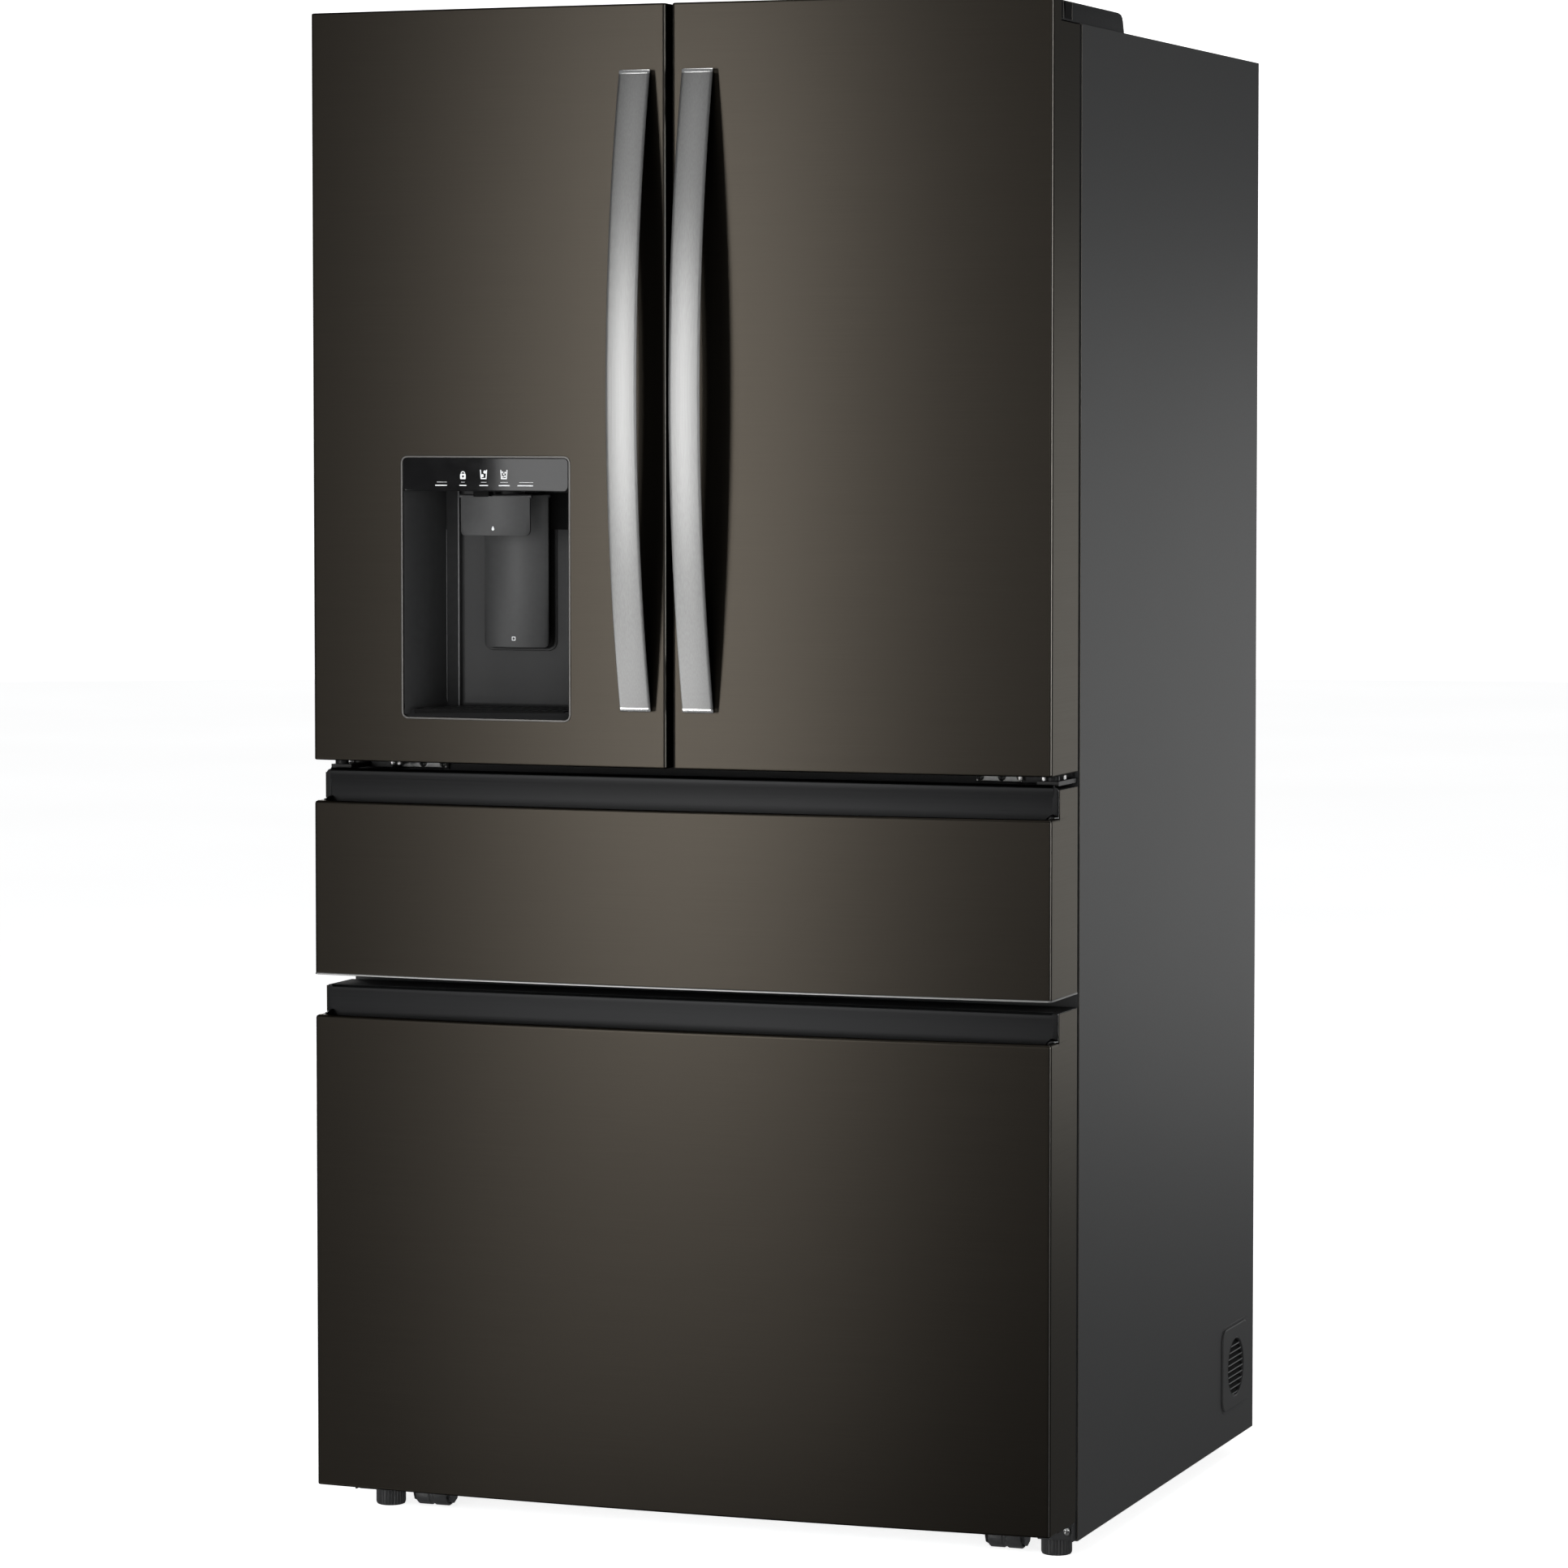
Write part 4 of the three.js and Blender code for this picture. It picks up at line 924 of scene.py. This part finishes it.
# Spout and chute.
lathe(
    "water_spout", [(0.01, -9), (3.0, -9), (3.4, -12), (5.0, -14), (8.6, -14), (10, -12.5), (10, 1)], "z",
    (-241, 54, CAVITY_TOP), *PLASTIC, sides=36,
)
lathe(
    "ice_chute", [(0.01, 0.5), (13, 0.5), (14.5, -5), (17.5, -6), (19, -4.5), (19, 1)], "z",
    (-225, 62, CAVITY_TOP), *PLASTIC, sides=40,
)
bar("nozzle_block", (-252, -232), (19, 33), (CAVITY_TOP - 6.5, CAVITY_TOP + 1), 1.2, *SHADOW)
plate(
    "dispenser_lamp", [rounded((-196, -176), (30, 46), 3)], "z", (CAVITY_TOP - 0.4, CAVITY_TOP + 0.6), 0.3,
    "clear_plastic", DOOR, "white_liner", 2,
)


def paddle(name, bulge):
    """A blade bowed across its width, with round lower corners and a barrel.
    Returns where its mark goes: its middle, its front and its lower edge."""
    (x0, x1), (y0, y1), (z0, z1) = limits(name)
    centre = (x0 + x1) / 2
    half = (x1 - x0) / 2 - 2.6
    level = (y0 + y1) / 2
    low, high = z0, z1 - 2.4
    radius = 4.6
    thick = 3.0
    sections = []
    for k in range(25):
        u = k / 12 - 1
        u = math.copysign(1 - (1 - abs(u)) ** 1.5, u)
        px = centre + half * u
        near = max(0.0, abs(half * u) - (half - radius))
        bottom = low + radius - math.sqrt(max(0.0, radius**2 - near**2))
        front = level - 1.6 - bulge * (1 - u**2)
        rim = ((0, 0.9), (0.35, 0.25), (thick / 2, 0), (thick - 0.35, 0.25), (thick, 0.9))
        section = [(px, front + deep, bottom + up) for deep, up in rim]
        section += [(px, front + thick, (low + high) / 2), (px, front + thick, high)]
        section += [(px, front, high), (px, front, (low + high) / 2)]
        sections.append(section)
    piece = loft(f"{name}_blade", sections, "paddle_plastic", name, "black_plastic", sharp=45)
    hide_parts(name)
    end = [(2.4, half), (2.2, half + 2), (0.01, half + 2)]
    barrel = [(a, -b) for a, b in reversed(end)] + end
    lathe(
        f"{name}_barrel", barrel, "x", (centre, level, high), "black_plastic", name, "black_plastic", sides=24
    )
    return centre, level - 1.6 - bulge, low


DROP = [[(0.0, 0.62)] + arc(0, -0.12, 0.34, 20, -200, 14)]
SQUARE = [rounded((-0.5, 0.5), (-0.5, 0.5), 0.12, 3), rounded((-0.32, 0.32), (-0.32, 0.32), 0.06, 2)[::-1]]
centre, level, low = paddle("water_paddle", 7.0)
mark("water_mark", DROP, centre, low + 8.5, 5.0, y=level, body="water_paddle")
centre, level, low = paddle("ice_paddle", 9.0)
mark("ice_mark", SQUARE, centre, low + 10.5, 4.6, y=level, body="ice_paddle")

# The drip tray and its slotted grille.
(tx0, tx1), (ty0, ty1), (_, tz1) = limits("drip_tray")
# The tray under the grille is near-black: painted shade seen through the slots.
soften("drip_tray", 0.8, "shadow_black", "black_plastic", DOOR, 2)
slots = []
for k in range(15):
    sx = tx0 + 14 + (tx1 - tx0 - 28) * k / 14
    slots.append(rounded((sx - 2.2, sx + 2.2), (ty0 + 9, ty1 - 9), 2.1, 4))
plate(
    "drip_grille", [rounded((tx0 + 2.8, tx1 - 2.8), (ty0 + 2.8, ty1 - 2.8), 4)] + slots, "z",
    (tz1 - 2.2, tz1 - 0.2), 0.6, *PLASTIC, 2,
)

# ---------------------------------------------------------------- cabinet

CABINET = "cabinet"
TRIM = ("dark_trim", CABINET, "dark_trim")
ZINC = ("zinc_steel", CABINET, "zinc_steel")
STUD = ("stud_steel", CABINET, "zinc_steel")
PLATE = ("plate_steel", CABINET, "zinc_steel")
(WX0, WX1), (WY0, _), (WZ0, WZ1) = limits("cabinet_wrapper")
soften("cabinet_wrapper", 1.6, "cabinet_paint", "cabinet_paint", CABINET, 3)
# A thin bead of a lighter steel round the cabinet's front edge: a painted highlight.
front_line = [(-0.5, 0.2), (-0.7, -0.5), (-0.1, -0.9), (0.5, -0.5), (0.3, 0.2)]
outlines = [
    [(px, WY0 + deep, pz) for px, pz in rounded((WX0 - out, WX1 + out), (WZ0 + 2 - out, WZ1 + out), 2.5, 4)]
    for out, deep in front_line
]
loft("cabinet_front_edge", outlines, "edge_steel", CABINET, "cabinet_paint", caps=False)

# The embossed pad round the side vent, and the vent's bars.
VENT_Y, VENT_Z = 796.0, 112.4


def vent_outline(grow):
    y, z = (VENT_Y - 59 - grow, VENT_Y + 56 + grow), (VENT_Z - 51 - grow, VENT_Z + 53 + grow)
    return rounded(y, z, 16 + grow, 8)


plate(
    "vent_pad", [vent_outline(0), circle(VENT_Y, VENT_Z, 36.6, 48)], "x", (WX1 - 1.2, WX1 + 2.2), 1.9,
    "cabinet_paint", CABINET, "cabinet_paint", 4,
)
# A darker ring round the pad's foot: painted shade in the crease.
plate(
    "vent_pad_root", [vent_outline(3), vent_outline(-2)], "x", (WX1 - 0.6, WX1 + 0.35), 0.3,
    "dark_trim", CABINET, "cabinet_paint", 2,
)
lathe(
    "vent_collar", [(37.4, 0.2), (37.2, 1.2), (36.6, 1.6), (36.0, 1.2), (35.8, -6), (36.4, -6.5), (37.4, -3)],
    "x", (WX1 + 0.9, VENT_Y, VENT_Z), "cabinet_paint", CABINET, "black_plastic", sides=56, hollow=True,
)
TILT = 3.2  # half the height of a vent bar's slope
BAR = ((1.0, 0.7 - TILT), (0.4, -0.6 - TILT), (-5.5, TILT - 0.9), (-5.2, TILT + 0.4))
BAR_HIGHLIGHT = ((1.5, 0.8 - TILT), (1.0, -0.7 - TILT), (0.2, -0.6 - TILT), (0.4, 1.0 - TILT))
# The bars are near-black, with strips of a lighter plastic along their front edges: painted shade in the vent
# and painted highlights on the bars.
VENT_PARTS = (("bar", "shadow_black", BAR), ("bar_edge", "edge_plastic", BAR_HIGHLIGHT))
for k in range(9):
    rise = (k - 4) * 7.6
    reach = math.sqrt(35.6**2 - rise**2)
    for part, material, ring in VENT_PARTS:
        sections = [
            [(WX1 + out, VENT_Y + end * reach, VENT_Z + rise + up) for out, up in ring] for end in (-1, 0, 1)
        ]
        loft(f"vent_{part}{k}", sections, material, CABINET, "black_plastic")
shade = [circle(VENT_Y, VENT_Z, 36.8, 40)]
plate("vent_shade", shade, "x", (WX1 - 7.6, WX1 - 6.8), 0.2, "shadow_black", CABINET, "black_plastic", 1)

# Levelling leg brackets with their pan screws.
soften("base_chassis", 0.7, "black_enamel", "zinc_steel", CABINET, 1)
for s, side in SIDES:
    gusset = [(113.4, 22), (125.8, 22), (125.8, 54), (122, 52), (113.6, 40)]
    plate(f"leg_bracket_{side}", [gusset], "x", (s * 448.6, s * 450.8), 0.6, *TRIM, 2)
    bar(f"leg_face_{side}", mirrored(s, 424, 449), (120.4, 122.4), (22, 43), 0.7, *TRIM, "y", 2)
    screw(f"leg_screw_{side}", (s * 441.8, 120.2, 32.5), "y", -1, 4.7, *STUD)

# Feet and rollers.
def grip(k, height):
    return 1.0 if height < 2 or height > 18.5 or k % 4 < 2 else 0.94


for _, side in SIDES:
    node = f"foot_{side}"
    (fx0, fx1), (fy0, fy1), (_, fz1) = limits(node)
    r = (fx1 - fx0) / 2
    profile = [(0.01, 0), (r - 2.5, 0), (r - 1.2, 0.5), (r - 0.3, 2.2), (r, 3.4), (r, 17.5)]
    profile += [(r - 0.6, 19.2), (r - 2, 20), (6.2, 20), (5.0, 21.5), (5.0, fz1), (0.01, fz1)]
    centre = ((fx0 + fx1) / 2, (fy0 + fy1) / 2, 0)
    piece = lathe(
        f"{node}_knob", profile, "z", centre, "black_plastic", node, "black_plastic", 112, 30, grip
    )
    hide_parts(node)
for node in [f"roller_{end}_{side}" for end in ("front", "rear") for _, side in SIDES]:
    box = limits(node)
    w, r = (box[0][1] - box[0][0]) / 2, (box[2][1] - box[2][0]) / 2
    centre = [(low + high) / 2 for low, high in box]
    near = [(0.01, 2 - w), (5, 2 - w), (6, -w), (9, -w), (10, 2.5 - w), (r - 4, 2.5 - w), (r - 2.4, 0.4 - w)]
    near += [(r - 1, 0.2 - w), (r, 1.6 - w), (r, -3), (r - 1.2, -1.6)]
    profile = near + [(a, -b) for a, b in reversed(near)]
    piece = lathe(f"{node}_wheel", profile, "x", centre, "black_plastic", node, "black_plastic", 48)
    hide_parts(node)

# Hinges: top plates under their covers, and the bright brackets between the
# doors and the upper drawer.
STUD_LOW, STUD_TOP = 896.6, 904.8
STUDS = {
    "left": ((440, 62, 4.4), (390, 96, 3.4), (381, 96, 3.4)),
    "right": ((439, 62, 4.2), (430, 62, 3.6), (391, 96, 3.4)),
}
for s, side in SIDES:
    soften(f"hinge_top_{side}", 0.8, "zinc_steel", "zinc_steel", CABINET, 2)
    (hx0, hx1), (hy0, hy1), (hz0, hz1) = limits(f"hinge_cover_{side}")
    rows = []
    levels = ((hz0, 0.0), (hz0 + 1, 0.0), (hz0 + 12, 0.8))
    levels += ((hz1 - 7, 1.4), (hz1 - 3, 2.6), (hz1 - 1, 5.0), (hz1, 9.0))
    for z, inset in levels:
        x, y = (hx0 + inset, hx1 - inset), (hy0 + inset, hy1 - 1.6 * inset)
        rows.append([(px, py, z) for px, py in rounded(x, y, max(2, 8 - inset * 0.3), 6)])
    piece = loft(f"hinge_cover_{side}_shell", rows, "cover_plastic", CABINET, "dark_trim")
    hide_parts(f"hinge_cover_{side}")
    outer = max(abs(hx0), abs(hx1))
    # Near-black slots and lighter ribs on the cover's side: painted shade in the grooves and painted
    # highlights along their edges.
    for k, (ya, yb) in enumerate(((hy0 + 1.5, hy0 + 13), (hy0 + 21, hy0 + 46))):
        bar(
            f"hinge_cover_{side}_slot{k}", mirrored(s, outer - 1.5, outer + 0.25), (ya, yb),
            (hz0 + 2, hz1 - 3.5), 0.5, "shadow_black", CABINET, "dark_trim", "x", 1,
        )
        bar(
            f"hinge_cover_{side}_rib{k}", mirrored(s, outer - 1, outer + 0.5), (yb, yb + 1.4),
            (hz0 + 1.5, hz1 - 3.5), 0.4, "edge_steel", CABINET, "dark_trim", "x", 1,
        )
    screw(f"hinge_cover_{side}_screw", ((hx0 + hx1) / 2, hy1 - 40, hz1 - 0.5), "z", 1, 4.5, *ZINC)
    soften(f"hinge_mid_{side}", 0.9, "hinge_steel", "zinc_steel", CABINET, 2)
    for k, px in enumerate((335, 361)):
        screw(f"hinge_mid_{side}_screw{k}", (s * px, 120.4, 898), "y", -1, 4.6, *PLATE)
    bar(f"hinge_mid_{side}_block", mirrored(s, 391, 420), (100, 121), (892.5, 903.5), 1.5, *TRIM)
    for k, (px, py, r) in enumerate(STUDS[side]):
        stud = [(0.01, STUD_LOW), (r - 0.7, STUD_LOW), (r, STUD_LOW + 0.7)]
        stud += [(r, STUD_TOP - 0.6), (r - 0.6, STUD_TOP), (0.01, STUD_TOP)]
        lathe(f"hinge_mid_{side}_stud{k}", stud, "z", (s * px, py, 0), *STUD, sides=28)
    bar(f"hinge_mid_{side}_stop", mirrored(s, 436, 446.5), (86, 94), (896.8, 904.2), 0.8, *STUD)
    face = (mirrored(s, 330.5, 389.5), (120.2, 121.6), (893, 903.6))
    bar(f"hinge_mid_{side}_plate", *face, 0.5, *PLATE, "y", 2)

# ---------------------------------------------------------------- back

(BX0, BX1), (_, BY1), (BZ0, BZ1) = limits("rear_panel")
soften("rear_panel", 1.0, "rear_steel", "zinc_steel", CABINET, 2)
soften("rear_cover", 0.5, "rear_steel", "zinc_steel", CABINET, 1)
for k, z in enumerate((520, 820, 1120, 1420)):
    bar(
        f"rear_rib{k}", (BX0 + 50, BX1 - 50), (BY1 - 2.0, BY1 + 2.2), (z - 11, z + 11), 2.0,
        "rear_steel", CABINET, "zinc_steel", "y", 3,
    )
for k in range(7):
    z = BZ0 + 30 + (BZ1 - BZ0 - 60) * k / 6
    for s, end in ((-1, "a"), (1, "b")):
        where = (s * (BX1 - 12), BY1 + 0.2, z)
        screw(f"rear_screw_{k}_{end}", where, "y", 1, 4, *ZINC, cross=False)

# ---------------------------------------------------------------- inside

frame["nodes"]["cabinet_foam"].data.materials.clear()
frame["nodes"]["cabinet_foam"].data.materials.append(MATERIALS["insulation_foam"])
FIXED = {
    "fresh_food_liner": (2.5, "white_liner"),
    "pantry_liner": (2.0, "white_liner"),
    "freezer_liner": (2.5, "white_liner"),
    "compressor": (6.0, "black_enamel"),
    "condenser_coil": (0.4, "copper_tube"),
    "fan_shroud": (0.6, "black_plastic"),
    "air_duct": (5.0, "white_liner"),
    "evaporator_cover": (1.0, "white_liner"),
    "evaporator_coil": (0.2, "fin_aluminium"),
    "crisper_left": (1.4, "clear_plastic"),
    "crisper_right": (1.4, "clear_plastic"),
}
for node, (width, finish) in FIXED.items():
    soften(node, width, finish, finish, CABINET, 3 if width > 1 else 1)
MOVING = {
    "left_door_gasket": ("left_door", 4.0, "seal_rubber"),
    "right_door_gasket": ("right_door", 4.0, "seal_rubber"),
    "pantry_gasket": ("pantry_drawer", 4.0, "seal_rubber"),
    "freezer_gasket": ("freezer_drawer", 4.0, "seal_rubber"),
    "ice_box": ("left_door", 4.0, "white_liner"),
    "right_door_bins": ("right_door", 1.2, "clear_plastic"),
    "mullion_flap": ("mullion_flap", 3.0, "dark_trim"),
    "pantry_bin": ("pantry_drawer", 1.3, "clear_plastic"),
    "pantry_rails": ("pantry_rails", 0.8, "zinc_steel"),
    "freezer_basket": ("freezer_drawer", 1.3, "white_liner"),
    "freezer_rails": ("freezer_rails", 0.8, "zinc_steel"),
    "condenser_fan": ("condenser_fan", 0.4, "black_plastic"),
}
for node, (body, width, finish) in MOVING.items():
    soften(node, width, finish, finish, body, 3)

for node in ("shelf_upper", "shelf_lower", "crisper_cover"):
    (sx0, sx1), (sy0, _), (sz0, _) = limits(node)
    soften(node, 0.8, "shelf_glass", "shelf_glass", CABINET, 2)
    trim = ((sx0 - 0.4, sx1 + 0.4), (sy0 - 2.4, sy0 + 9), (sz0 - 0.6, sz0 + 17))
    bar(f"{node}_trim", *trim, 3.0, "white_liner", CABINET, "white_liner", "x", 4)

# ---------------------------------------------------------------- stage


def studio_piece(mesh, material, **visible):
    """A part of the studio, out of sight of the kinds of ray set False."""
    piece = bpy.data.objects.new(mesh.name, mesh)
    bpy.context.scene.collection.objects.link(piece)
    mesh.materials.append(material)
    for kind, seen in visible.items():
        setattr(piece, f"visible_{kind}", seen)
    return piece


floor = bpy.data.meshes.new("studio_floor")
rim = [(x, y, 0) for x, y in circle(0, 0, 20, 64)]
floor.from_pydata(rim, [], [tuple(range(len(rim)))])
piece = studio_piece(
    floor, surface("studio_floor", (0.88,) * 3, 0.9, 0.0, 0.6, 0.01, 0.02, level=0.1, emission=0.95),
    glossy=False,
)

dome_mesh = bpy.data.meshes.new("studio_backdrop")
work = bmesh.new()
bmesh.ops.create_uvsphere(work, u_segments=48, v_segments=24, radius=24)
work.to_mesh(dome_mesh)
work.free()
dome = studio_piece(
    dome_mesh, surface("studio_backdrop", (1.0,) * 3, 0.9, 0.0, 0.2, 0.0, 0.01, level=0.0, emission=1.05),
    glossy=False, diffuse=False, transmission=False, shadow=False,
)

world = bpy.data.worlds.new("studio_world")
world.use_nodes = True
world.node_tree.nodes["Background"].inputs["Color"].default_value = (0.96, 0.98, 1.0, 1)
world.node_tree.nodes["Background"].inputs["Strength"].default_value = 0.17
bpy.context.scene.world = world


def softbox(name, where, towards, width, height, power, spread=180):
    light = bpy.data.lights.new(name, "AREA")
    light.spread = math.radians(spread)
    light.shape = "RECTANGLE"
    light.size = width
    light.size_y = height
    light.energy = power
    piece = bpy.data.objects.new(name, light)
    piece.location = where
    piece.rotation_euler = (Vector(towards) - Vector(where)).to_track_quat("-Z", "Y").to_euler()
    piece.visible_camera = False
    bpy.context.scene.collection.objects.link(piece)


softbox("key_strip", (-1.45, -4.35, 1.24), (0.0, -0.42, 1.15), 0.5, 2.15, 54.5)
softbox("key_edge", (-1.93, -4.2, 1.24), (-0.2, -0.42, 1.15), 0.3, 2.1, 8)
softbox("high_card", (-1.4, -3.9, 3.35), (0.0, -0.45, 1.6), 1.1, 0.9, 7.8)
softbox("floor_card", (-0.75, -2.3, 0.03), (-0.05, -0.45, 1.05), 0.9, 0.8, 0.9, spread=60)
softbox("side_box", (1.75, 3.6, 0.74), (0.45, 0.1, 0.9), 1.9, 1.5, 11.2)
softbox("right_fill", (4.6, -1.2, 1.3), (0.4, 0.1, 1.0), 1.2, 1.6, 36)
softbox("low_left_card", (-1.55, -2.0, 0.02), (0.0, -0.42, 1.05), 1.1, 2.4, 1.1, spread=24)
softbox("left_card", (-4.0, -3.5, 1.3), (0.0, -0.42, 1.1), 1.4, 2.4, 3)
softbox("right_card", (3.1, -4.6, 1.5), (0.0, -0.4, 1.1), 0.9, 2.0, 30)
softbox("front_card", (0.85, -6.1, 1.3), (0.15, -0.42, 1.0), 0.8, 2.0, 26)
softbox("top_box", (0.3, -0.6, 4.6), (0.0, -0.1, 1.6), 3.0, 2.4, 40)
softbox("rear_box", (-2.8, 4.2, 2.4), (0.0, 0.4, 1.0), 2.2, 2.2, 60)
softbox("left_fill", (-4.6, 0.4, 1.7), (-0.4, 0.1, 1.0), 1.6, 2.0, 16)

# The camera's place, turn and lens come from a fit to the fronts' corners.
camera_data = bpy.data.cameras.new("photo_camera")
camera = bpy.data.objects.new("photo_camera", camera_data)
bpy.context.scene.collection.objects.link(camera)
camera.location = (2.27682, CROWN_Y - 5.81927, 1.32062)
camera.rotation_euler = (math.pi / 2 - 0.05462, 0, 0.35192)
camera_data.sensor_width = 36
camera_data.lens = 125.48739
camera_data.shift_y = -0.05
camera_data.clip_end = 200
bpy.context.scene.camera = camera
bpy.context.scene.view_settings.view_transform = "Standard"
